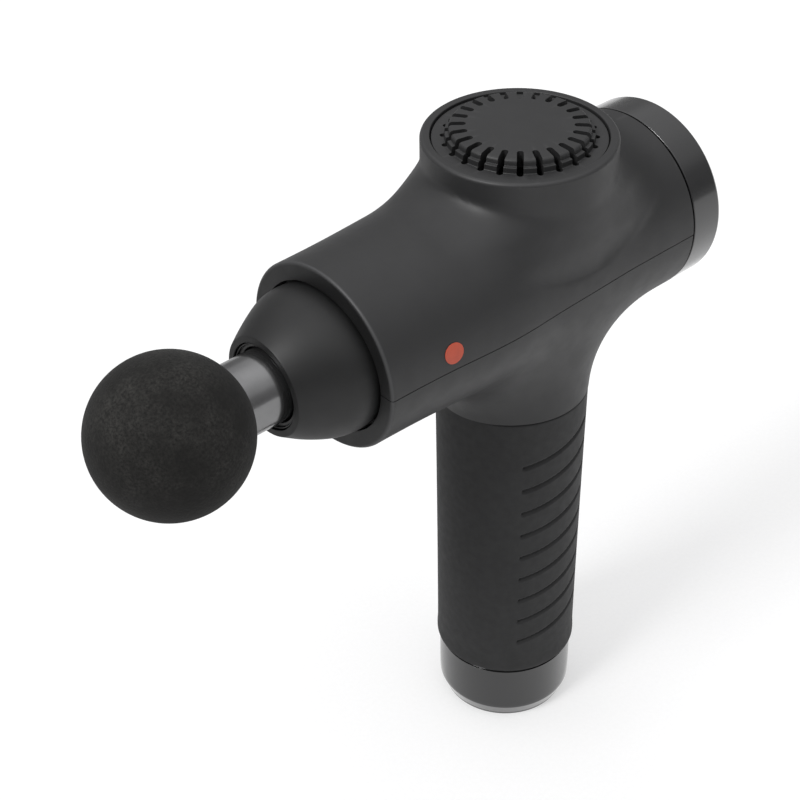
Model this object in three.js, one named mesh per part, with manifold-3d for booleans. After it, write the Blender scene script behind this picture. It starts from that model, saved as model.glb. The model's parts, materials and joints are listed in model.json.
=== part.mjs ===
// A percussion massage gun: a round barrel with a flared cooling vent on top, a rubber-sleeved battery
// handle below, a nose cone at the front and a display cap at the rear. Millimetres, +Z up. The barrel runs
// along Y with its nose towards -Y; the motor and the handle share the Z axis. Pieces are drawn with their
// origin where the two cross, and the assembly is then lifted so that the gun stands on the origin.
import * as THREE from "three";
import { mergeVertices } from "three/addons/utils/BufferGeometryUtils.js";
import Module from "manifold-3d";

const wasm = await Module();
wasm.setup();

// ---- driving dimensions --------------------------------------------------------------------------------
const GAP = 0.3; // the least gap between two pieces that touch on the real object
const WALL = 3; // housing wall

const BARREL = {
  front: -82.5, rear: 51.4, radius: 32, noseFlat: 0.95,
  swell: 2.2, swellAt: -32, swellWidth: 25,
};
const OPENING = { halfWidth: 26.6, flat: 0.91, lip: 3.5 }; // the hole in the barrel's front face
// The flared chimney that holds the vent.
const BOSS = { y: 0.6, radius: 31.3, top: 44.2, flareTop: 26, sideFade: 20, fillet: 19 };
const NECK = { radius: 26.2, bottom: -50, fillet: 30 };
const CAVITY = { radius: 28.9, noseRadius: 26.9, noseEnd: -40, well: 26.2, neck: 23.6 };

const VENT = { radius: 27.8, seat: 40.2, ring: 43.4, top: 47.6, shoulder: 22.3 };
const SLOTS = { count: 24, inner: 16.8, outer: 25, width: 2 };
const REAR = { front: 51.8, back: 64.7, radius: 31.9, lens: 28.5 };
const NOSE = { tip: -105.2, tipRadius: 16.4, tipHole: 14.2, base: -78.7, baseRadius: 25.8 };

const SHAFT = 11.8; // outer radius of the plunger and of the stem's collar
const SOCKET = { radius: 8.8, front: -98.5, depth: 28.5 };
const BALL = { radius: 25, centre: -139.3 };
const STROKE = 12; // the head's full travel
const THROW = STROKE / 2;
const ROLLER = 6.5;
const YOKE = {
  slotHalf: ROLLER + 1.5, halfLength: THROW + ROLLER + 0.9, halfWidth: 17.8,
  reach: 11.6, half: 4.5,
};
const SPIGOT = 4.7; // radius of the yoke's shank in the plunger
const JOURNAL = 2.5; // radius of the motor shaft and of the crank pin
const BEARING = JOURNAL + 0.25; // radius of a bore that turns on one of them
const PLATE = { bottom: 12.2, top: 14.4 }; // the motor's mounting plate

const PLUNGER_REAR = -20.5;
const GROOVES = [-78, -86]; // the stem's O-ring grooves

const MOTOR = { radius: 23.5, can: [17, 34.1], core: [18.5, 29], teeth: 12 };
const CRANK_DISC = [5.4, 10.4]; // its bottom and top
const MOUNT_SCREWS = [[20.75, 12], [-20.75, 12], [20.75, -12], [-20.75, -12]];

const GRIP = { radius: 25.2, topRadius: 26, inner: 23.5, top: -50.4, bottom: -165.4, relief: 0.5 };
const TUBE = { radius: 23.2, inner: 21, top: -42, bottom: -167.5 };
const BASE = { radius: 24.4, top: -165.8, bottom: -190.6, edge: 1.8, floor: 4.5 };
const FOOT = { inner: 17, outer: 19.6, height: 1.1 };
const CELL = { radius: 9.1, length: 65, ring: 10.75, top: -39.5, pitch: 67.6 };
const CELL_ANGLES = [-30, 90, 210].map(THREE.MathUtils.degToRad);
const ROCKER = { y: 5, pivot: -186.8, tilt: 6 };
const PORT = { y: -8.5, radius: 3.4, top: -178 };
const BASE_SCREWS = [[12, -5], [-12, -5]];
const DOT = { y: -58, z: 6, radius: 3.5 };

// ---- finishes ------------------------------------------------------------------------------------------
const finish = (color, roughness, metalness = 0) =>
  new THREE.MeshStandardMaterial({ color, roughness, metalness });
const softPlastic = finish(0x3a3a3b, 0.6);
const glossPlastic = finish(0x3b3c40, 0.25);
const stemPlastic = finish(0x48484a, 0.35);
const foam = finish(0x1e1e1e, 0.95);
const rubber = finish(0x2c2c2e, 0.85);
const blackRubber = finish(0x121212, 0.6);
const glass = finish(0x08080a, 0.08);
const steel = finish(0xb0b2b5, 0.3, 1);
const aluminium = finish(0x9a9ca0, 0.45, 1);
const copper = finish(0xb06a3a, 0.4, 1);
const bronze = finish(0xb08d4f, 0.4, 1);
const whitePlastic = finish(0xd8d8d2, 0.5);
const boardGreen = finish(0x1d5a34, 0.5);
const cellWrap = finish(0x2f6fb0, 0.4);
const accentRed = finish(0xe15a41, 0.4);
const redWire = finish(0xb02020, 0.5);
const blackWire = finish(0x1a1a1a, 0.5);

// ---- solids --------------------------------------------------------------------------------------------
// A closed manifold-3d solid of a three.js geometry, whichever way its faces were wound.
function solid(geometry) {
  const bare = geometry.index ? geometry.toNonIndexed() : geometry.clone();
  bare.deleteAttribute("normal");
  bare.deleteAttribute("uv");
  const merged = mergeVertices(bare, 1e-3);
  const corners = new Uint32Array(merged.index.array);
  const make = () => new wasm.Manifold(new wasm.Mesh({
    numProp: 3,
    vertProperties: merged.attributes.position.array,
    triVerts: corners,
  }));
  const made = make();
  if (made.volume() > 0) return made;
  for (let i = 0; i < corners.length; i += 3) {
    [corners[i + 1], corners[i + 2]] = [corners[i + 2], corners[i + 1]];
  }
  return make();
}

function geometryOf(made) {
  const mesh = made.getMesh();
  const geometry = new THREE.BufferGeometry();
  geometry.setAttribute("position", new THREE.BufferAttribute(new Float32Array(mesh.vertProperties), 3));
  geometry.setIndex(new THREE.BufferAttribute(new Uint32Array(mesh.triVerts), 1));
  geometry.computeVertexNormals();
  return geometry;
}

const join = (...pieces) => pieces.reduce((all, piece) => all.add(piece));
const cut = (piece, ...tools) => tools.reduce((rest, tool) => rest.subtract(tool), piece);

// Profiles are lists of [radius, height along the axis]; a profile that leaves the axis closes on itself.
function lathe(profile, segments = segmentsFor(Math.max(...profile.map(([r]) => r)))) {
  const points = profile.map(([r, h]) => new THREE.Vector2(r, h));
  const onAxis = profile[0][0] === 0 && profile[profile.length - 1][0] === 0;
  if (!onAxis) points.push(points[0].clone());
  return new THREE.LatheGeometry(points, segments);
}
function segmentsFor(radius) {
  if (radius < 3) return 8;
  if (radius < 7) return 12;
  if (radius < 12) return 18;
  return radius < 20 ? 24 : 32;
}
const turnedY = (profile) => solid(lathe(profile));
const turnedZ = (profile, x = 0, y = 0) => solid(lathe(profile).rotateX(Math.PI / 2).translate(x, y, 0));

const rod = (radius, from, to) => [[0, from], [radius, from], [radius, to], [0, to]];
const tube = (inner, outer, from, to) => [[inner, from], [outer, from], [outer, to], [inner, to]];
const rodY = (radius, from, to) => turnedY(rod(radius, from, to));
const rodZ = (radius, from, to, x = 0, y = 0) => turnedZ(rod(radius, from, to), x, y);
const tubeY = (inner, outer, from, to) => turnedY(tube(inner, outer, from, to));
const tubeZ = (inner, outer, from, to) => turnedZ(tube(inner, outer, from, to));
const rodX = (radius, from, to, y, z) =>
  solid(lathe(rod(radius, from, to)).rotateZ(-Math.PI / 2).translate(0, y, z));
const block = (x0, x1, y0, y1, z0, z1) =>
  solid(new THREE.BoxGeometry(x1 - x0, y1 - y0, z1 - z0)
    .translate((x0 + x1) / 2, (y0 + y1) / 2, (z0 + z1) / 2));

// Points of a quarter circle that rounds a profile's corner, from angle start to angle end in degrees.
function arc(centreR, centreH, radius, start, end, steps = 4) {
  return Array.from({ length: steps + 1 }, (_, i) => {
    const angle = THREE.MathUtils.degToRad(start + ((end - start) * i) / steps);
    return [centreR + radius * Math.cos(angle), centreH + radius * Math.sin(angle)];
  });
}

// A round cable of the given radius through the points.
function cable(points, radius) {
  const path = new THREE.CatmullRomCurve3(points.map((p) => new THREE.Vector3(...p)));
  const section = new THREE.Shape().absarc(0, 0, radius, 0, 2 * Math.PI);
  const steps = 2 * points.length;
  return solid(new THREE.ExtrudeGeometry(section, { extrudePath: path, steps, curveSegments: 3 }));
}

// The pieces at equal angles about the Z axis.
function aroundZ(count, make) {
  return Array.from({ length: count }, (_, i) => make((2 * Math.PI * i) / count));
}

// ---- the housing's outer form --------------------------------------------------------------------------
const smoothstep = (t) => { const s = Math.min(Math.max(t, 0), 1); return s * s * (3 - 2 * s); };
const halfWidth = (y) =>
  BARREL.radius + BARREL.swell * Math.exp(-(((y - BARREL.swellAt) / BARREL.swellWidth) ** 2));
const flatness = (y) =>
  BARREL.noseFlat + (1 - BARREL.noseFlat) * smoothstep((y - BARREL.front) / -BARREL.front);
const halfHeight = (y) => BARREL.radius * flatness(y);

// The lower of two distances, with a fillet where they come close. The fillet dies out where the two
// surfaces run side by side, so that the barrel isn't fattened by the upright it already contains.
function blend(a, b, fillet) {
  const near = Math.max(fillet - Math.abs(a - b), 0) / Math.max(fillet, 1e-6);
  return Math.min(a, b) - (near * near * fillet) / 4;
}

// Signed distance to the housing, roughly in millimetres: the barrel, the boss above it and the neck below.
function housing(x, y, z) {
  const a = halfWidth(y);
  const b = halfHeight(y);
  const share = Math.max(Math.hypot(x / a, z / b), 1e-6);
  const ends = Math.max(BARREL.front - 4 - y, y - BARREL.rear - 4);
  const barrel = Math.max(((share - 1) * Math.hypot(x, z)) / share, ends);
  const upright = Math.hypot(x, y);
  const boss = Math.max(Math.hypot(x, y - BOSS.y) - BOSS.radius, -z, z - BOSS.top - 4);
  const neck = Math.max(upright - NECK.radius, z, NECK.bottom - 4 - z);
  const sideBySide = (x / a / Math.hypot(x / a, z / b || 1e-6)) * (x / Math.max(upright, 1e-6));
  const belowRim = 1 - smoothstep((z - BOSS.flareTop) / (BOSS.top - BOSS.flareTop));
  const aboveSeam = smoothstep(z / BOSS.sideFade);
  const bossFillet = BOSS.fillet * Math.max(1 - sideBySide ** 4, 0) * belowRim * aboveSeam;
  const neckFillet = NECK.fillet * (1 - 0.65 * Math.min(sideBySide, 1));
  return blend(blend(barrel, boss, bossFillet), neck, neckFillet);
}

// The surface where the field is zero, as one vertex in each grid cell it passes through and one quad round
// each grid edge it crosses. Each vertex is then moved onto the surface along the field's slope.
function surfaceOf(field, low, high, step) {
  const size = low.map((v, i) => Math.ceil((high[i] - v) / step) + 1);
  const index = (i, j, k) => i + size[0] * (j + size[1] * k);
  const place = (i, j, k) => [low[0] + i * step, low[1] + j * step, low[2] + k * step];
  const values = new Float64Array(size[0] * size[1] * size[2]);
  const each = (visit) => {
    for (let k = 0; k < size[2]; k++)
      for (let j = 0; j < size[1]; j++)
        for (let i = 0; i < size[0]; i++) visit(i, j, k);
  };
  each((i, j, k) => { values[index(i, j, k)] = field(...place(i, j, k)); });

  const slope = (p) => p.map((_, i) => {
    const ahead = [...p];
    const behind = [...p];
    ahead[i] += 0.05;
    behind[i] -= 0.05;
    return (field(...ahead) - field(...behind)) / 0.1;
  });
  const settle = (p) => {
    for (let round = 0; round < 4; round++) {
      const g = slope(p);
      const share = field(...p) / Math.max(g[0] ** 2 + g[1] ** 2 + g[2] ** 2, 0.2);
      p = p.map((v, i) => v - g[i] * share);
    }
    return p;
  };

  const corners = [0, 1].flatMap((c) => [0, 1].flatMap((b) => [0, 1].map((a) => [a, b, c])));
  const edges = corners.flatMap((p) => [0, 1, 2].filter((axis) => !p[axis]).map((axis) => [p, axis]));
  const positions = [];
  const vertexOf = new Map();
  each((i, j, k) => {
    if (i + 1 === size[0] || j + 1 === size[1] || k + 1 === size[2]) return;
    const sum = [0, 0, 0];
    let crossed = 0;
    for (const [p, axis] of edges) {
      const from = [i + p[0], j + p[1], k + p[2]];
      const to = from.map((v, n) => v + (n === axis ? 1 : 0));
      const a = values[index(...from)];
      const b = values[index(...to)];
      if (a < 0 === b < 0) continue;
      const at = place(...from);
      at[axis] += (step * a) / (a - b);
      at.forEach((v, n) => { sum[n] += v; });
      crossed++;
    }
    if (!crossed) return;
    vertexOf.set(index(i, j, k), positions.length / 3);
    positions.push(...settle(sum.map((v) => v / crossed)));
  });

  const faces = [];
  each((i, j, k) => {
    for (let axis = 0; axis < 3; axis++) {
      const to = [i, j, k];
      to[axis]++;
      if (to[axis] >= size[axis]) continue;
      const inside = values[index(i, j, k)] < 0;
      if (inside === values[index(...to)] < 0) continue;
      const round = [[-1, -1], [0, -1], [0, 0], [-1, 0]].map(([b, c]) => {
        const cell = [i, j, k];
        cell[(axis + 1) % 3] += b;
        cell[(axis + 2) % 3] += c;
        return vertexOf.get(index(...cell));
      });
      if (!inside) round.reverse();
      faces.push(round[0], round[1], round[2], round[0], round[2], round[3]);
    }
  });
  const geometry = new THREE.BufferGeometry();
  geometry.setAttribute("position", new THREE.Float32BufferAttribute(positions, 3));
  geometry.setIndex(faces);
  return geometry;
}

// Presses a round piece on the barrel's axis to the barrel's own height at that point along it.
function flattened(geometry, ratio) {
  const at = geometry.attributes.position;
  for (let i = 0; i < at.count; i++) at.setZ(i, at.getZ(i) * ratio(at.getY(i)));
  return geometry;
}

function makeShells() {
  const outside = solid(surfaceOf(housing,
    [-40, BARREL.front - 10, NECK.bottom - 10], [40, BARREL.rear + 10, BOSS.top + 10], 4)).simplify(0.1);
  const far = 120;
  // Turned envelopes that trim the ends and round the rims.
  const frontEdge = 1.2;
  const barrelEnvelope = solid(flattened(lathe([
    [0, BARREL.front],
    ...arc(BARREL.radius - frontEdge, BARREL.front + frontEdge, frontEdge, -90, -10, 3),
    [far, BARREL.front + 4],
    [far, BARREL.rear],
    [0, BARREL.rear],
  ]), (y) => (y < BARREL.front + 3 ? BARREL.noseFlat : 1)));
  const bossEdge = 1.2;
  const uprightEnvelope = turnedZ([
    [0, NECK.bottom],
    [far, NECK.bottom],
    [far, BOSS.top - 20],
    [BOSS.radius + 2, BOSS.top - 10],
    [BOSS.radius - 0.1, BOSS.top - 4.5],
    ...arc(BOSS.radius - 0.1 - bossEdge, BOSS.top - bossEdge, bossEdge, 0, 90, 2),
    [0, BOSS.top],
  ], 0, BOSS.y);
  const trimmed = outside.intersect(barrelEnvelope).intersect(uprightEnvelope);

  const opening = lathe(rod(OPENING.halfWidth, BARREL.front - 5, CAVITY.noseEnd));
  const hollow = join(
    rodY(CAVITY.radius, CAVITY.noseEnd, BARREL.rear + 5),
    rodY(CAVITY.noseRadius, BARREL.front + OPENING.lip, CAVITY.noseEnd + 1),
    solid(flattened(opening, () => OPENING.flat)),
    rodZ(CAVITY.well, 0, VENT.seat + 1),
    rodZ(VENT.radius + GAP, VENT.seat, BOSS.top + 5, 0, BOSS.y),
    rodZ(CAVITY.neck, NECK.bottom - 5, 0),
  );
  const shell = trimmed.subtract(hollow);
  const seam = GAP / 2;
  const upper = shell.intersect(block(-far, far, -far, far, seam, far)).simplify(0.05);
  const lower = shell.intersect(block(-far, far, -far, far, -far, -seam)).simplify(0.05);
  return { upper, lower };
}

// ---- outer pieces --------------------------------------------------------------------------------------
function makeVentCap() {
  const under = VENT.seat + GAP;
  const edge = 1.2;
  const cap = turnedZ([
    [0, VENT.top - 2.2],
    [19.5, VENT.top - 2.2],
    [19.5, under],
    [VENT.radius, under],
    [VENT.radius, VENT.ring],
    [VENT.shoulder + 0.3, VENT.ring],
    [VENT.shoulder, VENT.top - edge],
    [VENT.shoulder - edge, VENT.top - 0.3],
    [0, VENT.top],
  ]);
  const length = SLOTS.outer - SLOTS.inner;
  const slots = aroundZ(SLOTS.count, (angle) => solid(
    new THREE.BoxGeometry(length, SLOTS.width, 12)
      .translate(SLOTS.inner + length / 2, 0, VENT.ring).rotateZ(angle)));
  return cut(cap, ...slots).translate([0, BOSS.y, 0]);
}

function makeNoseCone() {
  const wall = 2.3;
  const outline = [[NOSE.baseRadius, NOSE.base], [25.6, -85], [24.3, -90], [21.9, -95.3], [18.7, -101]];
  const within = [outline[4], outline[2], outline[0]].map(([r, y]) => [r - wall, y]);
  const profile = [
    ...outline,
    ...arc(NOSE.tipRadius - 1.2, NOSE.tip + 1.5, 1.5, -20, -90, 2),
    [NOSE.tipHole, NOSE.tip],
    [NOSE.tipHole, NOSE.tip + 2.2],
    [NOSE.tipHole + 2, NOSE.tip + 2.2],
    ...within,
  ];
  const cone = solid(flattened(lathe(profile),
    (y) => OPENING.flat + (1 - OPENING.flat) * smoothstep((BARREL.front - y) / 18)));
  return join(cone, tubeY(19.5, CAVITY.noseRadius - 0.5, NOSE.base, NOSE.base + 2.5));
}

// A dot laid on the upper shell's side, following its curve.
function makeAccentDot() {
  const skin = (offset) => solid(surfaceOf((x, y, z) => housing(x, y, z) - offset,
    [20, DOT.y - 10, DOT.z - 12], [44, DOT.y + 14, DOT.z + 12], 3));
  return skin(0.6).subtract(skin(GAP)).intersect(rodX(DOT.radius, 20, 40, DOT.y, DOT.z));
}

function makeRearCap() {
  const edge = 1.6;
  const spigot = CAVITY.radius - GAP;
  const mouth = REAR.lens + GAP + 0.2;
  const seat = REAR.back - 2.9;
  return turnedY([
    [26.6, 47],
    [spigot, 47],
    [spigot, REAR.front],
    [REAR.radius, REAR.front],
    ...arc(REAR.radius - edge, REAR.back - edge, edge, 0, 90, 2),
    [mouth, REAR.back],
    [mouth, seat],
    [26.6, seat],
  ]);
}

// Plain anti-slip grooves in each side of the sleeve: parallel, evenly spaced and measured along its arc.
const GRIP_GROOVES = { count: 9, first: -66, pitch: 10.2, reach: 15, rise: 4, width: 1.8 };

// Cuts a flat piece by planes across X, so that it can be bent.
function sliced(piece, width) {
  const box = piece.boundingBox();
  const slices = [];
  for (let x = Math.floor(box.min[0] / width) * width; x < box.max[0]; x += width) {
    slices.push(piece.intersect(block(x, x + width, -400, 400, -400, 400)));
  }
  return geometryOf(join(...slices.filter((slice) => slice.volume() > 0)));
}

// The grooves are extruded flat and wrapped round the handle.
function wrappedGrooves(turn) {
  const { count, first, pitch, reach, rise, width } = GRIP_GROOVES;
  const bars = Array.from({ length: count }, (_, i) => {
    const z = first - i * pitch;
    const outline = [
      [-reach, z - rise],
      [reach, z + rise],
      [reach, z + rise + width],
      [-reach, z - rise + width],
    ];
    const shape = new THREE.Shape(outline.map(([x, y]) => new THREE.Vector2(x, y)));
    return solid(new THREE.ExtrudeGeometry(shape, { depth: 4, bevelEnabled: false }));
  });
  const flat = sliced(join(...bars), 4);
  const at = flat.attributes.position;
  for (let i = 0; i < at.count; i++) {
    const angle = at.getX(i) / GRIP.radius + turn;
    const radius = GRIP.radius - GRIP.relief + at.getZ(i);
    at.setXYZ(i, radius * Math.cos(angle), radius * Math.sin(angle), at.getY(i));
  }
  return solid(flat);
}

function makeGripSleeve() {
  const edge = 0.5;
  const sleeve = turnedZ([
    [GRIP.inner, GRIP.bottom],
    [GRIP.radius - edge, GRIP.bottom],
    [GRIP.radius, GRIP.bottom + edge],
    [GRIP.radius, (GRIP.top + GRIP.bottom) / 2],
    [GRIP.topRadius, GRIP.top - edge],
    [GRIP.topRadius - edge, GRIP.top],
    [GRIP.inner, GRIP.top],
  ]);
  return cut(sleeve, wrappedGrooves(0), wrappedGrooves(Math.PI));
}

function makeBaseCap() {
  const wall = 2.2;
  const groove = BASE.bottom + FOOT.height + GAP;
  const floor = BASE.bottom + BASE.floor;
  const cap = turnedZ([
    [0, BASE.bottom],
    [FOOT.inner - GAP, BASE.bottom],
    [FOOT.inner - GAP, groove],
    [FOOT.outer + GAP, groove],
    [FOOT.outer + GAP, BASE.bottom],
    ...arc(BASE.radius - BASE.edge, BASE.bottom + BASE.edge, BASE.edge, -90, 0, 3),
    [BASE.radius, BASE.top],
    [TUBE.radius + GAP, BASE.top],
    [TUBE.radius + GAP, TUBE.bottom - GAP],
    [BASE.radius - wall, TUBE.bottom - GAP],
    [BASE.radius - wall, floor + 2],
    [BASE.radius - wall - 2, floor],
    [0, floor],
  ]);
  const low = BASE.bottom - 5;
  const high = BASE.bottom + 12;
  return cut(cap,
    block(-6, 6, ROCKER.y - 3.8, ROCKER.y + 3.8, low, high),
    rodZ(PORT.radius + GAP, low, high, 0, PORT.y),
    ...BASE_SCREWS.map(([x, y]) => rodZ(1.5, low, high, x, y)),
    ...BASE_SCREWS.map(([x, y]) => rodZ(2.6, low, BASE.bottom + 2.7, x, y)));
}

// A slotted screw, head up, its head's top at the given height.
function screwZ(x, y, top, length, headRadius = 2.2) {
  const shank = 1.2;
  const body = turnedZ([
    [0, -length], [shank, -length], [shank, -1.7], [headRadius, -1.7], [headRadius, -0.4],
    [headRadius - 0.5, 0], [0, 0],
  ]);
  return cut(body, block(-0.45, 0.45, -5, 5, -0.6, 1)).translate([x, y, top]);
}

function makeChargePort() {
  const mouth = BASE.bottom + 0.5;
  return turnedZ([
    [2.6, mouth],
    [PORT.radius, mouth],
    [PORT.radius, PORT.top],
    [0, PORT.top],
    [0, mouth + 2],
    [0.9, mouth + 2],
    [0.9, PORT.top - 3],
    [2.6, PORT.top - 3],
  ], 0, PORT.y);
}

function makeRocker() {
  const profile = [[-5.5, 4], [-5.5, -0.6], [0, 0.4], [5.5, -0.6], [5.5, 4]];
  const shape = new THREE.Shape(profile.map(([x, z]) => new THREE.Vector2(x, z)));
  return solid(new THREE.ExtrudeGeometry(shape, { depth: 6.8, bevelEnabled: false })
    .translate(0, -2, -3.4)
    .rotateZ(THREE.MathUtils.degToRad(ROCKER.tilt))
    .rotateX(Math.PI / 2)
    .translate(0, ROCKER.y, ROCKER.pivot));
}

// ---- motor and crank -----------------------------------------------------------------------------------
function makeStatorCore() {
  const [bottom, top] = MOTOR.core;
  const teeth = aroundZ(MOTOR.teeth, (angle) => {
    const stem = block(9.5, 19, -1.5, 1.5, bottom, top);
    const shoe = block(18.4, 19.8, -3.6, 3.6, bottom, top);
    return stem.add(shoe).rotate([0, 0, THREE.MathUtils.radToDeg(angle)]);
  });
  return join(tubeZ(7.5, 10, bottom, top), ...teeth).simplify(0.01);
}

// Twelve coils in the spaces between the teeth, joined by a ring over the top.
function makeStatorWinding() {
  const [bottom, top] = MOTOR.core;
  const wedge = new THREE.Shape([[11.3, -0.9], [17.2, -2.4], [17.2, 2.4], [11.3, 0.9]]
    .map(([x, y]) => new THREE.Vector2(x, y)));
  const legs = aroundZ(MOTOR.teeth, (angle) => solid(
    new THREE.ExtrudeGeometry(wedge, { depth: top - bottom + 0.6, bevelEnabled: false })
      .translate(0, 0, bottom).rotateZ(angle + Math.PI / MOTOR.teeth)));
  return join(tubeZ(11, 17.5, top + 0.4, top + 2), ...legs);
}

const makeMotorMount = () => cut(
  join(rodZ(25.5, PLATE.bottom, PLATE.top), rodZ(7.2, PLATE.top - 1, 31)),
  rodZ(5.3, 0, 40),
  ...MOUNT_SCREWS.map(([x, y]) => rodZ(1.6, 0, 20, x, y)));

function makeRotorCan() {
  const wall = 1.3;
  const [bottom, top] = MOTOR.can;
  return turnedZ([
    [BEARING, top - 2.4],
    [5, top - 2.4],
    [5, top - 1.5],
    [MOTOR.radius - wall, top - 1.5],
    [MOTOR.radius - wall, bottom],
    [MOTOR.radius, bottom],
    [MOTOR.radius, top - 1],
    [MOTOR.radius - 1, top],
    [BEARING, top],
  ]);
}

function makeFan() {
  const seat = MOTOR.can[1] + GAP;
  const blades = aroundZ(9, (angle) => solid(
    new THREE.BoxGeometry(15, 1.2, 3.8).rotateZ(0.5).translate(14, 0, seat + 2.7).rotateZ(angle)));
  return cut(join(rodZ(22, seat, seat + 1), rodZ(6, seat, seat + 4.4), ...blades), rodZ(BEARING, 30, 37.9));
}

function makeCrankDisc() {
  const [bottom, top] = CRANK_DISC;
  const weight = rodZ(13, bottom, top).intersect(block(0, 20, -20, 20, 0, 20));
  const web = rodZ(9, bottom, top, -2, 0);
  return cut(join(weight, web), rodZ(BEARING, 0, 20), rodZ(BEARING, 0, 20, -THROW, 0));
}

// The tray that carries the motor over the yoke, with a collar that holds the guide cylinder.
function makeDriveFrame() {
  const [inner, outer] = [18.5, 23];
  const [front, back] = [-37, 22];
  const wallTop = PLATE.bottom - GAP;
  return cut(
    join(
      block(-outer, outer, front, back, -15.5, -12.5),
      block(inner, outer, front, back, -13, wallTop),
      block(-outer, -inner, front, back, -13, wallTop),
      rodY(26, -39, -36)),
    rodY(SHAFT + 0.8, -60, -30),
    ...MOUNT_SCREWS.map(([x, y]) => rodZ(1.6, 2, 20, x, y)));
}

// ---- plunger and head ----------------------------------------------------------------------------------
const YOKE_PIN_Y = -26;

function makePlunger() {
  const inner = SOCKET.front + SOCKET.depth;
  const edge = 0.6;
  const body = turnedY([
    [0, inner],
    [SOCKET.radius, inner],
    [SOCKET.radius, SOCKET.front + edge],
    [SOCKET.radius + edge, SOCKET.front],
    [SHAFT - edge, SOCKET.front],
    [SHAFT, SOCKET.front + edge],
    [SHAFT, PLUNGER_REAR],
    [SPIGOT + GAP, PLUNGER_REAR],
    [SPIGOT + GAP, -34],
    [0, -34],
  ]);
  return cut(body, rodX(1.8, -20, 20, YOKE_PIN_Y, 0));
}

// The plate whose slot the crank's roller runs in, so that turning the crank slides the plunger.
function makeYoke() {
  const plate = block(-YOKE.halfWidth, YOKE.halfWidth, -YOKE.reach, YOKE.reach, -YOKE.half, YOKE.half);
  const straight = YOKE.halfLength - YOKE.slotHalf;
  const slot = join(
    block(-straight, straight, -YOKE.slotHalf, YOKE.slotHalf, -20, 20),
    rodZ(YOKE.slotHalf, -20, 20, straight, 0),
    rodZ(YOKE.slotHalf, -20, 20, -straight, 0));
  const shank = rodY(SPIGOT, -33, -YOKE.reach + 1);
  return cut(join(plate, shank), slot, rodX(1.8, -20, 20, YOKE_PIN_Y, 0));
}

function makeHeadStem() {
  const plug = SOCKET.radius - 0.4;
  const end = SOCKET.front + SOCKET.depth - 2;
  const grooves = GROOVES.flatMap((y) => [
    [plug, y + 1.1],
    [plug - 1.6, y + 1.1],
    [plug - 1.6, y - 1.1],
    [plug, y - 1.1],
  ]);
  return turnedY([
    [0, end],
    [plug - 1, end],
    [plug, end - 1],
    ...grooves,
    [plug, SOCKET.front - 0.4],
    [SHAFT, SOCKET.front - 0.4],
    [SHAFT, -118],
    [8, -118],
    [8, -132],
    [0, -132],
  ]);
}
const oRing = (y) => solid(new THREE.TorusGeometry(7.8, 0.75, 6, 20).rotateX(Math.PI / 2).translate(0, y, 0));

function makeBall() {
  const mouth = SHAFT + GAP;
  const start = THREE.MathUtils.radToDeg(Math.acos(mouth / BALL.radius));
  const bore = 8 + GAP;
  return turnedY([
    [bore, -118.3],
    [bore, -132.4],
    [0, -132.4],
    ...arc(0, BALL.centre, BALL.radius, start, -90, 13).reverse(),
    [mouth, -118.3],
  ].slice(2).concat([[bore, -118.3], [bore, -132.4], [0, -132.4]]).map(([r, y]) => [Math.max(r, 0), y]));
}

// ---- handle --------------------------------------------------------------------------------------------
function makeCell(layer, angle) {
  const top = CELL.top - layer * CELL.pitch;
  const bottom = top - CELL.length;
  return turnedZ([
    [0, bottom],
    [CELL.radius, bottom],
    [CELL.radius, top - 1.4],
    [3, top - 1.4],
    [3, top],
    [0, top],
  ], CELL.ring * Math.cos(angle), CELL.ring * Math.sin(angle));
}

// A plate that spaces the cells, with a passage for the cable.
const makeHolder = (top) => cut(rodZ(20.6, top - 2, top), block(12, 25, 5.2, 14, top - 5, top + 5));

// The protection board, with the power switch's body on its underside.
function makeBatteryBoard() {
  const board = rodZ(20, -175.6, -174);
  const switchBody = block(-5.5, 5.5, ROCKER.y - 3.2, ROCKER.y + 3.2, -183.8, -175);
  return cut(join(board, switchBody), block(12, 25, 5.2, 14, -180, -170));
}

// ---- boards --------------------------------------------------------------------------------------------
function makeControlBoard() {
  const [front, back] = [40, 41.6];
  const chips = [[-12, -4, 4, 12], [-14, -2, -10, -3], [5, 13, -2, 7]];
  return join(
    block(-20, 20, front, back, -16, 16),
    ...chips.map(([x0, x1, z0, z1]) => block(x0, x1, front - 1.6, front + 0.1, z0, z1)));
}

const makeDisplayBoard = () =>
  join(rodY(25.5, 56, 57.6), block(-8, 8, 57.5, 60.5, -5, 5), block(-3, 3, 53, 56.1, 8, 14));

// The battery's two-core cable, up the handle and back to the control board.
const makeBatteryCable = () => cable([
  [16.2, 9.2, -173.4],
  [16.2, 9.2, -60],
  [15.5, 10, -38],
  [13.5, 13.5, -26],
  [11.5, 22, -18],
  [10, 32, -14.5],
  [9, 39.4, -13.5],
], 1.7);

// ---- the assembly --------------------------------------------------------------------------------------
const gun = new THREE.Group();
const lifted = new THREE.Group();
lifted.position.z = -BASE.bottom;
gun.add(lifted);
function place(name, made, material) {
  const mesh = new THREE.Mesh(geometryOf(made), material);
  mesh.name = name;
  lifted.add(mesh);
}

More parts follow.
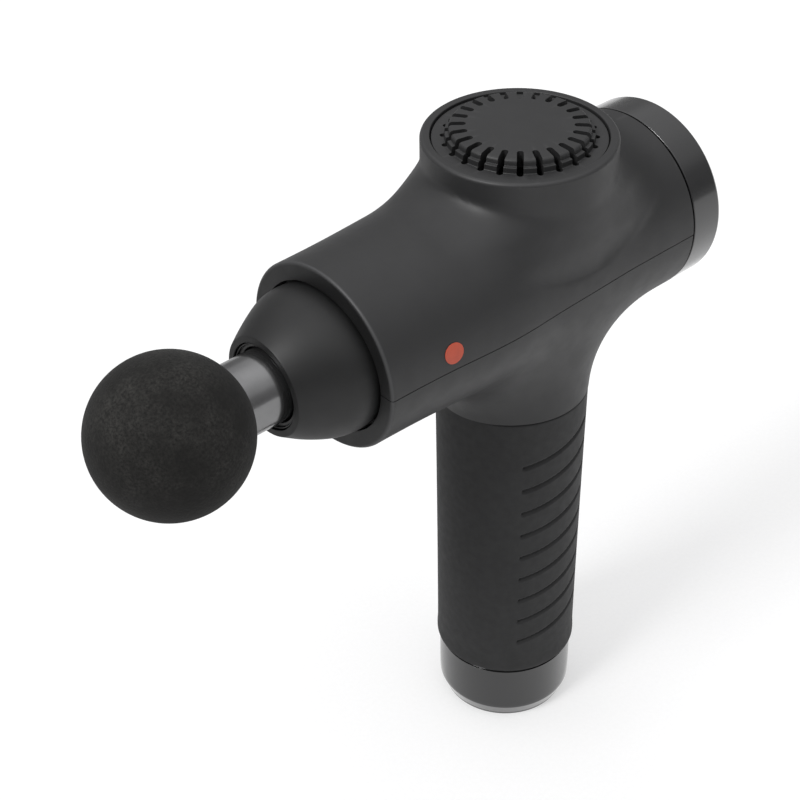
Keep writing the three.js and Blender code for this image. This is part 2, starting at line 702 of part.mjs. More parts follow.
const shells = makeShells();
place("upper_shell", shells.upper, softPlastic);
place("lower_shell", shells.lower, softPlastic);
place("nose_cone", makeNoseCone(), softPlastic);
place("nose_seal", join(tubeY(12.4, 15.6, -102.6, -98.7), tubeY(12.4, 13.9, -104.6, -102)), blackRubber);
place("vent_cap", makeVentCap(), softPlastic);
place("dust_screen", rodZ(25.8, 39.6, 40), blackRubber);
place("rear_cap", makeRearCap(), glossPlastic);
place("display_lens", rodY(REAR.lens, REAR.back - 2.5, REAR.back - 0.7), glass);
place("display_board", makeDisplayBoard(), boardGreen);
place("control_board", makeControlBoard(), boardGreen);
place("accent_dot", makeAccentDot(), accentRed);

place("drive_frame", makeDriveFrame(), aluminium);
place("guide_cylinder", turnedY([
  [13.5, -77], [16.5, -77], [16.5, -42.3], [20, -42.3], [20, -39.3], [13.5, -39.3],
]), aluminium);
place("front_bush", tubeY(SHAFT + GAP, 13.2, -76, -62), bronze);
place("rear_bush", tubeY(SHAFT + GAP, 13.2, -54, -40), bronze);
place("front_damper", tubeY(16.8, 26.5, -74, -67), blackRubber);
place("left_damper", block(-27.4, -23.3, 6, 20, -6, 6), blackRubber);
place("right_damper", block(23.3, 27.4, 6, 20, -6, 6), blackRubber);

place("motor_mount", makeMotorMount(), aluminium);
place("stator_core", makeStatorCore(), steel);
place("stator_winding", makeStatorWinding(), copper);
place("lower_bearing", tubeZ(BEARING, 5, PLATE.bottom, PLATE.bottom + 3), steel);
place("upper_bearing", tubeZ(BEARING, 5, 27.5, 30.5), steel);
MOUNT_SCREWS.forEach(([x, y], i) => place(`motor_screw_${i + 1}`, screwZ(x, y, PLATE.top + 2, 11), steel));

place("rotor_can", makeRotorCan(), steel);
place("magnet_ring", tubeZ(20.4, 21.9, 18, 31), steel);
place("motor_shaft", rodZ(JOURNAL, CRANK_DISC[0] + 0.2, 37.6), steel);
place("cooling_fan", makeFan(), whitePlastic);
place("crank_disc", makeCrankDisc(), steel);
place("crank_pin", rodZ(JOURNAL, -5.5, CRANK_DISC[1] - 0.2, -THROW, 0), steel);
place("pin_roller", turnedZ(tube(BEARING, ROLLER, -YOKE.half + 0.2, YOKE.half), -THROW, 0), steel);

place("plunger", makePlunger(), aluminium);
place("yoke", makeYoke(), aluminium);
place("yoke_pin", rodX(1.5, -11, 11, YOKE_PIN_Y, 0), steel);

place("head_stem", makeHeadStem(), stemPlastic);
place("head_ball", makeBall(), foam);
GROOVES.forEach((y, i) => place(`stem_o_ring_${i + 1}`, oRing(y), blackRubber));

place("handle_tube", tubeZ(TUBE.inner, TUBE.radius, TUBE.bottom, TUBE.top), softPlastic);
place("grip_sleeve", makeGripSleeve(), rubber);
place("base_cap", makeBaseCap(), glossPlastic);
place("foot_ring", tubeZ(FOOT.inner, FOOT.outer, BASE.bottom, BASE.bottom + FOOT.height), blackRubber);
place("charge_port", makeChargePort(), blackRubber);
place("power_rocker", makeRocker(), glossPlastic);
BASE_SCREWS.forEach(([x, y], i) =>
  place(
    `base_screw_${i + 1}`,
    screwZ(0, 0, 0, 8).rotate([180, 0, 0]).translate([x, y, BASE.bottom + 0.6]),
    steel,
  ));

[0, 1].forEach((layer) => CELL_ANGLES.forEach((angle, i) =>
  place(`battery_cell_${3 * layer + i + 1}`, makeCell(layer, angle), cellWrap)));
place("top_cell_holder", makeHolder(CELL.top + GAP + 2), blackRubber);
place("middle_cell_holder", makeHolder(CELL.top - CELL.pitch + GAP + 2), blackRubber);
place("battery_board", makeBatteryBoard(), boardGreen);
place("battery_cable", makeBatteryCable(), redWire);
const motorCablePath = [[0, 14, 15.9], [0, 21, 15.7], [0, 28, 15.2], [0, 34, 11.5], [0, 39.3, 8]];
place("motor_cable", cable(motorCablePath, 1), blackWire);

export default gun;
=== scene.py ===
"""A percussion massage gun: soft-touch barrel with a flared cooling vent, rubber handle, foam ball head.

Everything is drawn in millimetres with z = 0 on the barrel's axis, the nose towards -Y and the handle down
-Z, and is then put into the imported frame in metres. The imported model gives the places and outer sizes.
"""
import json
import math

import bpy
import bmesh
import numpy as np
from mathutils import Matrix, Vector


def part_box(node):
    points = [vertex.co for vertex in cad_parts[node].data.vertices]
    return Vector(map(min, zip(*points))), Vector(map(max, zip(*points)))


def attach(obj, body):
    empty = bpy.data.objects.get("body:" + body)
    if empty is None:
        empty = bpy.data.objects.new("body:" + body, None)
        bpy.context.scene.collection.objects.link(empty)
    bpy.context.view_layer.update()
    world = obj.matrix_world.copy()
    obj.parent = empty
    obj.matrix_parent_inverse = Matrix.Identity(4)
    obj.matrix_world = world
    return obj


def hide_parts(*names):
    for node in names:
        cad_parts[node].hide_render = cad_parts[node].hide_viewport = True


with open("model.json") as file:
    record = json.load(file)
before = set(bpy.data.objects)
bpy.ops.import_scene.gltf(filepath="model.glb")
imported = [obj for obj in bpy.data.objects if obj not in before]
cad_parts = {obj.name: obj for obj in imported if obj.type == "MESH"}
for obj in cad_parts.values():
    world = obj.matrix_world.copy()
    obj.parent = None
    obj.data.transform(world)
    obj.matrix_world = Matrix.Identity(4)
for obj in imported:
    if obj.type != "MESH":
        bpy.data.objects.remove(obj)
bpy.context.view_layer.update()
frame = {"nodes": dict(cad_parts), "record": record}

# ---- measures ------------------------------------------------------------------------------------------
MM = 0.001
AXIS = sum(corner[2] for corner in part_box("rear_cap")) / 2 / MM


def reach(node):
    """Lowest and highest corner of a CAD node in millimetres, with z measured from the barrel's axis."""
    low, high = (np.array(corner) / MM - (0, 0, AXIS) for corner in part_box(node))
    return low, high


BARREL_FRONT = reach("upper_shell")[0][1]
BARREL_REAR = reach("upper_shell")[1][1]
BARREL_RADIUS = 32.0
NOSE_FLAT = 0.95  # height over width of the barrel's front
SWELL, SWELL_AT, SWELL_WIDTH = 2.2, -32.0, 25.0  # the barrel widens a little before the boss
FRONT_EDGE = 1.0  # radius of the edge round the barrel's front face

BOSS_TOP = reach("upper_shell")[1][2]
BOSS_RADIUS = 31.3
BOSS_Y = 0.6  # the vent's centre, behind the motor's axis
BOSS_FILLET = 19.0
BOSS_FLARE_TOP = 26.0  # where the fillet round the boss starts to run out
BOSS_SIDE_FADE = 20.0  # the height over which that fillet starts, above the seam
BOSS_EDGE = 1.3
NECK_BOTTOM = reach("lower_shell")[0][2]
NECK_RADIUS = 26.2
NECK_FILLET = 30.0
SEAM = 0.15  # half the gap between the two shells

CAVITY_RADIUS = 28.9
NOSE_CAVITY_RADIUS = 26.9
NOSE_CAVITY_END = -40.0
WELL_RADIUS = 26.2
NECK_CAVITY_RADIUS = 23.6
OPENING_RADIUS, OPENING_FLAT, OPENING_LIP = 26.6, 0.91, 3.5

VENT_TOP = reach("vent_cap")[1][2]
VENT_RADIUS = reach("vent_cap")[1][0]
VENT_UNDER = reach("vent_cap")[0][2]
VENT_FLOOR = BOSS_TOP - 0.8
VENT_SHOULDER = 22.3
VENT_LEDGE = VENT_TOP - 2.3
SLOT_COUNT, SLOT_IN, SLOT_OUT, SLOT_WIDTH = 24, 16.8, 25.0, 2.1

REAR_FRONT = 51.8
REAR_BACK = reach("rear_cap")[1][1]
REAR_RADIUS = reach("rear_cap")[1][0]
REAR_SPIGOT = reach("rear_cap")[0][1]
LENS_RADIUS = reach("display_lens")[1][0]
LENS_FRONT, LENS_BACK = reach("display_lens")[0][1], reach("display_lens")[1][1]

NOSE_TIP = reach("nose_cone")[0][1]
NOSE_END = reach("nose_cone")[1][1]
NOSE_BASE = NOSE_END - 2.5
NOSE_RADIUS = 25.8
NOSE_HOLE = 14.2

STEM_RADIUS = 11.8
STEM_FRONT = reach("head_stem")[0][1]
STEM_REAR = reach("head_stem")[1][1]
STEM_COLLAR = -98.9
PLUG_RADIUS = 8.4
BALL_RADIUS = reach("head_ball")[1][0]
BALL_CENTRE = reach("head_ball")[0][1] + BALL_RADIUS
O_RING_PLACES = [sum(corner[1] for corner in reach(f"stem_o_ring_{i}")) / 2 for i in (1, 2)]

GRIP_RADIUS, GRIP_TOP_RADIUS = 25.25, 26.1
GRIP_INNER = 23.5
GRIP_BOTTOM, GRIP_TOP = reach("grip_sleeve")[0][2], reach("grip_sleeve")[1][2]
GRIP_RELIEF = 0.75  # depth of the grooves
BASE_RADIUS = reach("base_cap")[1][0]
BASE_BOTTOM, BASE_TOP = reach("base_cap")[0][2], reach("base_cap")[1][2]
FOOT_RADIUS = reach("foot_ring")[1][0]
FOOT_INNER = 17.0
FOOT_HEIGHT = 1.1
BASE_SCREWS = [tuple(sum(pair) / 2 for pair in list(zip(*reach(f"base_screw_{i}")))[:2]) for i in (1, 2)]
RECESS_HALF_LENGTH, RECESS_HALF_WIDTH = 1.2, 0.35  # one arm of the cross in a screw's head
ROCKER_Y = 5.0
PORT_Y = -8.5
PORT_RADIUS = reach("charge_port")[1][0]
DOT_CENTRE = [sum(pair) / 2 for pair in zip(*reach("accent_dot"))]
DOT_RADIUS = 3.5


# ---- meshes --------------------------------------------------------------------------------------------
def mesh_object(name, points, faces):
    """A linked object of points in millimetres, with its faces turned outwards."""
    mesh = bpy.data.meshes.new(name)
    placed = (np.asarray(points, float) + (0, 0, AXIS)) * MM
    mesh.from_pydata(placed.tolist(), [], [list(map(int, face)) for face in faces])
    work = bmesh.new()
    work.from_mesh(mesh)
    bmesh.ops.recalc_face_normals(work, faces=work.faces)
    work.to_mesh(mesh)
    work.free()
    obj = bpy.data.objects.new(name, mesh)
    bpy.context.scene.collection.objects.link(obj)
    return obj


def apply_modifiers(obj):
    bpy.context.view_layer.update()
    graph = bpy.context.evaluated_depsgraph_get()
    mesh = bpy.data.meshes.new_from_object(obj.evaluated_get(graph))
    obj.modifiers.clear()
    obj.data = mesh
    mesh.name = obj.name
    return obj


def boolean(obj, tool, operation="DIFFERENCE"):
    modifier = obj.modifiers.new(operation, "BOOLEAN")
    modifier.object = tool
    modifier.operation = operation
    modifier.solver = "MANIFOLD"
    apply_modifiers(obj)
    bpy.data.objects.remove(tool)
    return obj


def copy_of(obj, name):
    twin = bpy.data.objects.new(name, obj.data.copy())
    bpy.context.scene.collection.objects.link(twin)
    return twin


def smooth(obj, angle=32):
    """Smooth shading that breaks at corners sharper than the angle, led by the larger faces."""
    mesh = obj.data
    mesh.polygons.foreach_set("use_smooth", [True] * len(mesh.polygons))
    mesh.set_sharp_from_angle(angle=math.radians(angle))
    weighted = obj.modifiers.new("weighted_normals", "WEIGHTED_NORMAL")
    weighted.keep_sharp = True
    return obj


def rounded(outline, closed):
    """A profile's points, with each (r, h, radius) corner replaced by an arc of that radius."""
    count = len(outline)
    points = []
    for i, corner in enumerate(outline):
        here = np.array(corner[:2], float)
        radius = corner[2] if len(corner) > 2 else 0
        if not radius or (not closed and i in (0, count - 1)):
            points.append(here)
            continue
        before = np.array(outline[i - 1][:2], float) - here
        after = np.array(outline[(i + 1) % count][:2], float) - here
        lengths = np.linalg.norm(before), np.linalg.norm(after)
        u, v = before / lengths[0], after / lengths[1]
        half = math.acos(np.clip(u @ v, -1, 1)) / 2
        run = min(radius / math.tan(half), 0.49 * min(lengths))
        radius = run * math.tan(half)
        centre = here + (u + v) / np.linalg.norm(u + v) * radius / math.sin(half)
        start, end = here + u * run - centre, here + v * run - centre
        turn = math.pi - 2 * half
        steps = max(2, math.ceil(math.degrees(turn) / 9))
        side = np.sign(start[0] * end[1] - start[1] * end[0])
        first = math.atan2(start[1], start[0])
        for step in range(steps + 1):
            angle = first + side * turn * step / steps
            points.append(centre + radius * np.array([math.cos(angle), math.sin(angle)]))
    return points


def curve_through(points, steps=8):
    """Points on a smooth curve through the given ones."""
    points = np.array(points, float)
    ends = np.vstack([2 * points[0] - points[1], points, 2 * points[-1] - points[-2]])
    out = []
    for p0, p1, p2, p3 in zip(ends, ends[1:], ends[2:], ends[3:]):
        for t in np.arange(steps) / steps:
            out.append(0.5 * (2 * p1 + (p2 - p0) * t + (2 * p0 - 5 * p1 + 4 * p2 - p3) * t ** 2
                              + (3 * p1 - p0 - 3 * p2 + p3) * t ** 3))
    return [tuple(p) for p in out] + [tuple(points[-1])]


def turned(name, outline, axis="z", centre=(0, 0), segments=160, height_ratio=None):
    """A body turned about an axis: outline holds (radius, height along the axis[, corner radius])."""
    closed = not (outline[0][0] == 0 and outline[-1][0] == 0)
    profile = rounded(outline, closed)
    angles = np.arange(segments) * 2 * math.pi / segments
    points, rings = [], []
    for r, h in profile:
        first = len(points)
        if r < 1e-9:
            points.append((0, 0, h))
            rings.append([first] * segments)
            continue
        points += [(r * math.cos(a), r * math.sin(a), h) for a in angles]
        rings.append(range(first, first + segments))
    faces = []
    pairs = list(zip(rings, rings[1:])) + ([(rings[-1], rings[0])] if closed else [])
    for low, high in pairs:
        for i in range(segments):
            j = (i + 1) % segments
            face = list(dict.fromkeys([low[i], low[j], high[j], high[i]]))
            if len(face) > 2:
                faces.append(face)
    points = np.array(points, float)
    if axis == "y":
        points = points[:, [0, 2, 1]]
        if height_ratio:
            points[:, 2] *= [height_ratio(y) for y in points[:, 1]]
        points += (centre[0], 0, centre[1])
    else:
        points += (centre[0], centre[1], 0)
    return mesh_object(name, points, faces)


def prism(name, outline, low, high):
    """A straight body on the z axis with the outline (x, y) as its section."""
    count = len(outline)
    points = [(x, y, z) for z in (low, high) for x, y in outline]
    sides = [(i, (i + 1) % count, (i + 1) % count + count, i + count) for i in range(count)]
    return mesh_object(name, points, [list(range(count)), list(range(count, 2 * count))] + sides)


def block(name, low, high):
    (x0, y0, z0), (x1, y1, z1) = low, high
    return prism(name, [(x0, y0), (x1, y0), (x1, y1), (x0, y1)], z0, z1)


def finished(obj, body, slot, material, *nodes):
    """Gives a piece its material and its body, and hides the CAD nodes it stands for."""
    obj.data.materials.clear()
    obj.data.materials.append(material)
    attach(obj, body)
    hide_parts(*nodes)
    return obj


# ---- the housing's outer form --------------------------------------------------------------------------
def smoothstep(t):
    s = np.clip(t, 0, 1)
    return s * s * (3 - 2 * s)


def half_width(y):
    return BARREL_RADIUS + SWELL * np.exp(-(((y - SWELL_AT) / SWELL_WIDTH) ** 2))


def flatness(y):
    return NOSE_FLAT + (1 - NOSE_FLAT) * smoothstep((y - BARREL_FRONT) / -BARREL_FRONT)


def blend(a, b, fillet):
    """The lower of two distances, with a fillet where they come close."""
    fillet = np.maximum(fillet, 1e-6)
    near = np.maximum(fillet - np.abs(a - b), 0) / fillet
    return np.minimum(a, b) - near ** 2 * fillet / 4


def housing(x, y, z):
    """Signed distance to the housing: the barrel, the boss above it and the neck below it."""
    a, b = half_width(y), BARREL_RADIUS * flatness(y)
    share = np.maximum(np.hypot(x / a, z / b), 1e-6)
    barrel = (share - 1) * np.hypot(x, z) / share
    upright = np.hypot(x, y)
    boss = np.maximum(np.hypot(x, y - BOSS_Y) - BOSS_RADIUS, -z)
    neck = np.maximum(upright - NECK_RADIUS, z)
    side_by_side = x / a / share * x / np.maximum(upright, 1e-6)
    below_rim = 1 - smoothstep((z - BOSS_FLARE_TOP) / (BOSS_TOP - BOSS_FLARE_TOP))
    below_rim = below_rim * smoothstep(z / BOSS_SIDE_FADE)
    boss_fillet = BOSS_FILLET * np.maximum(1 - side_by_side ** 4, 0) * below_rim
    neck_fillet = NECK_FILLET * (1 - 0.65 * np.minimum(side_by_side, 1))
    return blend(blend(barrel, boss, boss_fillet), neck, neck_fillet)


def outer_form(x, y, z):
    above_and_behind = np.maximum(y - BARREL_REAR, z - BOSS_TOP)
    ends = np.maximum(above_and_behind, np.maximum(NECK_BOTTOM - z, BARREL_FRONT - y))
    return np.maximum(housing(x, y, z), ends - 3)


def slope_of(field, p, reach_mm=0.02):
    steps = np.eye(3) * reach_mm
    return np.stack([(field(*(p + s).T) - field(*(p - s).T)) / (2 * reach_mm) for s in steps], axis=1)


def settled(field, p, rounds=5):
    """Moves points onto the surface where the field is zero."""
    for _ in range(rounds):
        slope = slope_of(field, p)
        p = p - slope * (field(*p.T) / np.maximum((slope ** 2).sum(1), 0.2))[:, None]
    return p


def surface_of(name, field, low, high, step):
    """The surface where the field is zero: one point in each grid cell it crosses, and a face round each
    grid edge it crosses."""
    axes = [np.arange(a, b + step, step) for a, b in zip(low, high)]
    grid = np.stack(np.meshgrid(*axes, indexing="ij"), axis=-1)
    values = field(grid[..., 0], grid[..., 1], grid[..., 2])
    shape = np.array(values.shape)
    total = np.zeros(tuple(shape) + (3,))
    count = np.zeros(tuple(shape), int)
    crossings = []
    for axis in range(3):
        here = [slice(None)] * 3
        there = [slice(None)] * 3
        here[axis], there[axis] = slice(0, -1), slice(1, None)
        a, b = values[tuple(here)], values[tuple(there)]
        at = np.argwhere((a < 0) != (b < 0))
        va, vb = a[tuple(at.T)], b[tuple(at.T)]
        point = grid[tuple(at.T)].copy()
        point[:, axis] += step * va / (va - vb)
        crossings.append((axis, at, va < 0))
        for i in (0, 1):
            for j in (0, 1):
                cell = at.copy()
                cell[:, (axis + 1) % 3] -= i
                cell[:, (axis + 2) % 3] -= j
                np.add.at(total, tuple(cell.T), point)
                np.add.at(count, tuple(cell.T), 1)
    used = np.argwhere(count > 0)
    points = settled(field, total[tuple(used.T)] / count[tuple(used.T)][:, None])
    number = np.full(tuple(shape), -1)
    number[tuple(used.T)] = np.arange(len(used))
    faces = []
    for axis, at, inside in crossings:
        corners = []
        for i, j in ((1, 1), (0, 1), (0, 0), (1, 0)):
            cell = at.copy()
            cell[:, (axis + 1) % 3] -= i
            cell[:, (axis + 2) % 3] -= j
            corners.append(number[tuple(cell.T)])
        quads = np.stack(corners, axis=1)
        quads[~inside] = quads[~inside][:, ::-1]
        faces.append(quads)
    return mesh_object(name, points, np.concatenate(faces))


# ---- shells --------------------------------------------------------------------------------------------
FAR = 120.0


def make_shells(material):
    step = 1.0
    shell = surface_of("shell", outer_form, (-38, BARREL_FRONT - 5, NECK_BOTTOM - 5),
                       (38, BARREL_REAR + 5, BOSS_TOP + 5), step)
    rear_edge, tight = 0.5, 0.02
    front_radius = float(half_width(BARREL_FRONT))
    envelopes = [
        turned("barrel_trim", [
            (0, BARREL_FRONT)
        ] + [
            (front_radius - FRONT_EDGE * (1 - math.sin(a)), BARREL_FRONT + FRONT_EDGE * (1 - math.cos(a)))
            for a in np.radians(np.linspace(0, 84, 9))
        ] + [
            (front_radius + 0.3, BARREL_FRONT + FRONT_EDGE + 0.6), (FAR, BARREL_FRONT + 20),
            (FAR, BARREL_REAR - 1),
            (BARREL_RADIUS - tight, BARREL_REAR - rear_edge), (BARREL_RADIUS - rear_edge, BARREL_REAR),
            (0, BARREL_REAR),
        ], axis="y", segments=256, height_ratio=lambda y: NOSE_FLAT if y < BARREL_FRONT + 3 else 1),
        turned("upright_trim", [
            (0, NECK_BOTTOM), (FAR, NECK_BOTTOM), (FAR, BOSS_TOP - BOSS_EDGE - 0.6),
        ] + [
            (BOSS_RADIUS - BOSS_EDGE * (1 - math.cos(a)), BOSS_TOP - BOSS_EDGE * (1 - math.sin(a)))
            for a in np.radians(np.linspace(9, 90, 10))
        ] + [(0, BOSS_TOP)], centre=(0, BOSS_Y), segments=256),
    ]
    for envelope in envelopes:
        boolean(shell, envelope, "INTERSECT")
    lip = 0.35
    cutters = [
        turned("cavity", [
            (0, NOSE_CAVITY_END), (CAVITY_RADIUS, NOSE_CAVITY_END), (CAVITY_RADIUS, BARREL_REAR + 5),
            (0, BARREL_REAR + 5)], axis="y"),
        turned("nose_cavity", [
            (0, BARREL_FRONT + OPENING_LIP), (NOSE_CAVITY_RADIUS, BARREL_FRONT + OPENING_LIP),
            (NOSE_CAVITY_RADIUS, NOSE_CAVITY_END + 1), (0, NOSE_CAVITY_END + 1)], axis="y"),
        turned("opening", [
            (0, BARREL_FRONT - 5), (OPENING_RADIUS + 5, BARREL_FRONT - 5),
            (OPENING_RADIUS + 5, BARREL_FRONT - 0.4), (OPENING_RADIUS, BARREL_FRONT, lip),
            (OPENING_RADIUS, BARREL_FRONT + OPENING_LIP + 1), (0, BARREL_FRONT + OPENING_LIP + 1),
        ], axis="y", segments=200, height_ratio=lambda y: OPENING_FLAT),
        turned("well", [(0, 0), (WELL_RADIUS, 0), (WELL_RADIUS, VENT_UNDER), (0, VENT_UNDER)]),
        turned("vent_seat", [
            (0, VENT_UNDER - 0.3), (VENT_RADIUS + 0.3, VENT_UNDER - 0.3), (VENT_RADIUS + 0.3, BOSS_TOP, 0.45),
            (VENT_RADIUS + 5, BOSS_TOP + 0.4), (VENT_RADIUS + 5, BOSS_TOP + 6), (0, BOSS_TOP + 6)],
            centre=(0, BOSS_Y), segments=200),
        turned("neck_bore", [
            (0, NECK_BOTTOM - 5), (NECK_CAVITY_RADIUS, NECK_BOTTOM - 5), (NECK_CAVITY_RADIUS, 0), (0, 0)]),
    ]
    for cutter in cutters:
        boolean(shell, cutter)
    upper = copy_of(shell, "upper_shell_skin")
    lower = copy_of(shell, "lower_shell_skin")
    bpy.data.objects.remove(shell)
    boolean(upper, block("keep", (-FAR, -FAR, SEAM), (FAR, FAR, FAR)), "INTERSECT")
    boolean(lower, block("keep", (-FAR, -FAR, -FAR), (FAR, FAR, -SEAM)), "INTERSECT")
    finished(smooth(upper), "housing", "soft_plastic", material, "upper_shell")
    finished(smooth(lower), "housing", "soft_plastic", material, "lower_shell")


# ---- pieces on the housing -----------------------------------------------------------------------------
def slot_outline(angle, half=SLOT_WIDTH / 2, ends=7):
    """A round-ended slot from SLOT_IN to SLOT_OUT along a radius."""
    points = []
    for centre, start in ((SLOT_OUT - half, -90), (SLOT_IN + half, 90)):
        for step in range(ends):
            a = math.radians(start + 180 * step / (ends - 1))
            points.append((centre + half * math.cos(a), half * math.sin(a)))
    c, s = math.cos(angle), math.sin(angle)
    return [(x * c - y * s, x * s + y * c + BOSS_Y) for x, y in points]


def make_vent_cap(material):
    cap = turned("vent_cap_grille", [
        (0, VENT_UNDER + 1.4), (20.5, VENT_UNDER + 1.4), (20.5, VENT_UNDER), (VENT_RADIUS, VENT_UNDER),
        (VENT_RADIUS, VENT_FLOOR, 0.35), (VENT_SHOULDER + 1.3, VENT_FLOOR, 0.35),
        (VENT_SHOULDER + 1.15, VENT_LEDGE, 0.2), (VENT_SHOULDER + 0.1, VENT_LEDGE + 0.1, 0.2),
        (VENT_SHOULDER - 0.1, VENT_TOP - 0.15, 1.3), (VENT_SHOULDER - 4, VENT_TOP, 2),
        (14, VENT_TOP), (11, VENT_TOP), (7, VENT_TOP), (3, VENT_TOP), (0, VENT_TOP),
    ], centre=(0, BOSS_Y), segments=240)
    for i in range(SLOT_COUNT):
        outline = slot_outline(2 * math.pi * i / SLOT_COUNT)
        boolean(cap, prism("slot", outline, VENT_UNDER - 2, VENT_TOP + 2))
    return finished(smooth(cap), "housing", "soft_plastic", material, "vent_cap")


def make_nose_cone(material):
    outer = curve_through([(25.4, NOSE_BASE), (25.8, -82.0), (25.9, -84.4), (25.5, -87.4), (24.4, -90.8),
                           (22.0, -95.5), (18.9, -101), (16.7, NOSE_TIP + 0.6)], 6)
    wall = 2.3
    profile = [
        (19.5, NOSE_END), (NOSE_CAVITY_RADIUS - 0.5, NOSE_END, 0.3), (NOSE_CAVITY_RADIUS - 0.5, NOSE_BASE),
        *outer,
        (16.3, NOSE_TIP, 0.45), (NOSE_HOLE, NOSE_TIP, 0.25), (NOSE_HOLE, NOSE_TIP + 2.2),
        (NOSE_HOLE + 2, NOSE_TIP + 2.2),
        (18.7 - wall, -101), (24.3 - wall, -90), (NOSE_RADIUS - wall, NOSE_BASE), (19.5, NOSE_BASE),
    ]
    cone = turned("nose_cone_skin", profile, axis="y", segments=200, height_ratio=lambda y: (
        OPENING_FLAT + (1 - OPENING_FLAT) * float(smoothstep((BARREL_FRONT - y) / 18))))
    return finished(smooth(cone), "housing", "soft_plastic", material, "nose_cone")


def make_nose_seal(material):
    seal = turned("nose_seal_ring", [
        (15.6, -98.7), (15.6, -102.4, 0.2), (13.9, -102.4), (13.9, NOSE_TIP + 0.6, 0.2),
        (13.5, NOSE_TIP + 0.6, 0.2), (13.2, NOSE_TIP + 1.5, 0.2), (12.3, NOSE_TIP + 1.5, 0.3),
        (12.3, -98.7, 0.3),
    ], axis="y", segments=160)
    return finished(smooth(seal), "housing", "black_rubber", material, "nose_seal")


def make_rear_cap(material):
    seat = REAR_BACK - 2.9
    mouth = LENS_RADIUS + 0.4
    cap = turned("rear_cap_ring", [
        (26.6, REAR_SPIGOT), (CAVITY_RADIUS - 0.3, REAR_SPIGOT, 0.3), (CAVITY_RADIUS - 0.3, REAR_FRONT),
        (REAR_RADIUS, REAR_FRONT, 0.35), (REAR_RADIUS, REAR_BACK, 1.6), (mouth, REAR_BACK, 0.4),
        (mouth, seat), (26.6, seat),
    ], axis="y", segments=256)
    return finished(smooth(cap), "housing", "gloss_plastic", material, "rear_cap")


def make_lens(material):
    lens = turned("display_lens_glass", [
        (0, LENS_FRONT), (LENS_RADIUS, LENS_FRONT, 0.2), (LENS_RADIUS, LENS_BACK, 0.5), (0, LENS_BACK),
    ], axis="y", segments=200)
    return finished(smooth(lens), "housing", "lens_glass", material, "display_lens")


def make_accent(material):
    """A printed dot that follows the barrel's side."""
    rings, segments = 6, 48
    _, y0, z0 = DOT_CENTRE
    flat = [(y0, z0)]
    for ring in range(1, rings + 1):
        r = DOT_RADIUS * ring / rings
        flat += [(y0 + r * math.cos(a), z0 + r * math.sin(a))
                 for a in np.arange(segments) * 2 * math.pi / segments]
    layers = []
    for lift in (0.06, 0.2):
        start = np.array([(BARREL_RADIUS + 1, y, z) for y, z in flat])
        layers.append(settled(lambda x, y, z, lift=lift: housing(x, y, z) - lift, start))
    count = len(flat)
    faces = []
    for base in (0, count):
        faces += [[base, base + 1 + i, base + 1 + (i + 1) % segments] for i in range(segments)]
        for ring in range(rings - 1):
            a, b = base + 1 + ring * segments, base + 1 + (ring + 1) * segments
            faces += [[a + i, b + i, b + (i + 1) % segments, a + (i + 1) % segments] for i in range(segments)]
    rim = 1 + (rings - 1) * segments
    faces += [[rim + i, rim + (i + 1) % segments, count + rim + (i + 1) % segments, count + rim + i]
              for i in range(segments)]
    dot = mesh_object("accent_dot_print", np.vstack(layers), faces)
    return finished(smooth(dot), "housing", "accent", material, "accent_dot")


# ---- handle --------------------------------------------------------------------------------------------
# Plain anti-slip grooves in the sleeve's sides, parallel and evenly spaced: how many, the middle of the
# highest, the step down to the next, half the length round the sleeve, half the rise and the two half widths.
GROOVE_COUNT, GROOVE_FIRST, GROOVE_PITCH = 9, -65.1, 10.2
GROOVE_REACH, GROOVE_RISE = 15, 4
GROOVE_FLAT, GROOVE_WALL = 0.5, 0.5


def pressed(u, v):
    """How far the points (u, v) are pressed in, from 0 between the grooves to 1 at their floor."""
    depth = np.zeros(np.shape(u))
    along = np.clip(u, -GROOVE_REACH, GROOVE_REACH)
    for i in range(GROOVE_COUNT):
        middle = GROOVE_FIRST - i * GROOVE_PITCH + along * GROOVE_RISE / GROOVE_REACH
        off = np.hypot(u - along, v - middle)
        depth = np.maximum(depth, 1 - smoothstep((off - GROOVE_FLAT) / GROOVE_WALL))
    return depth


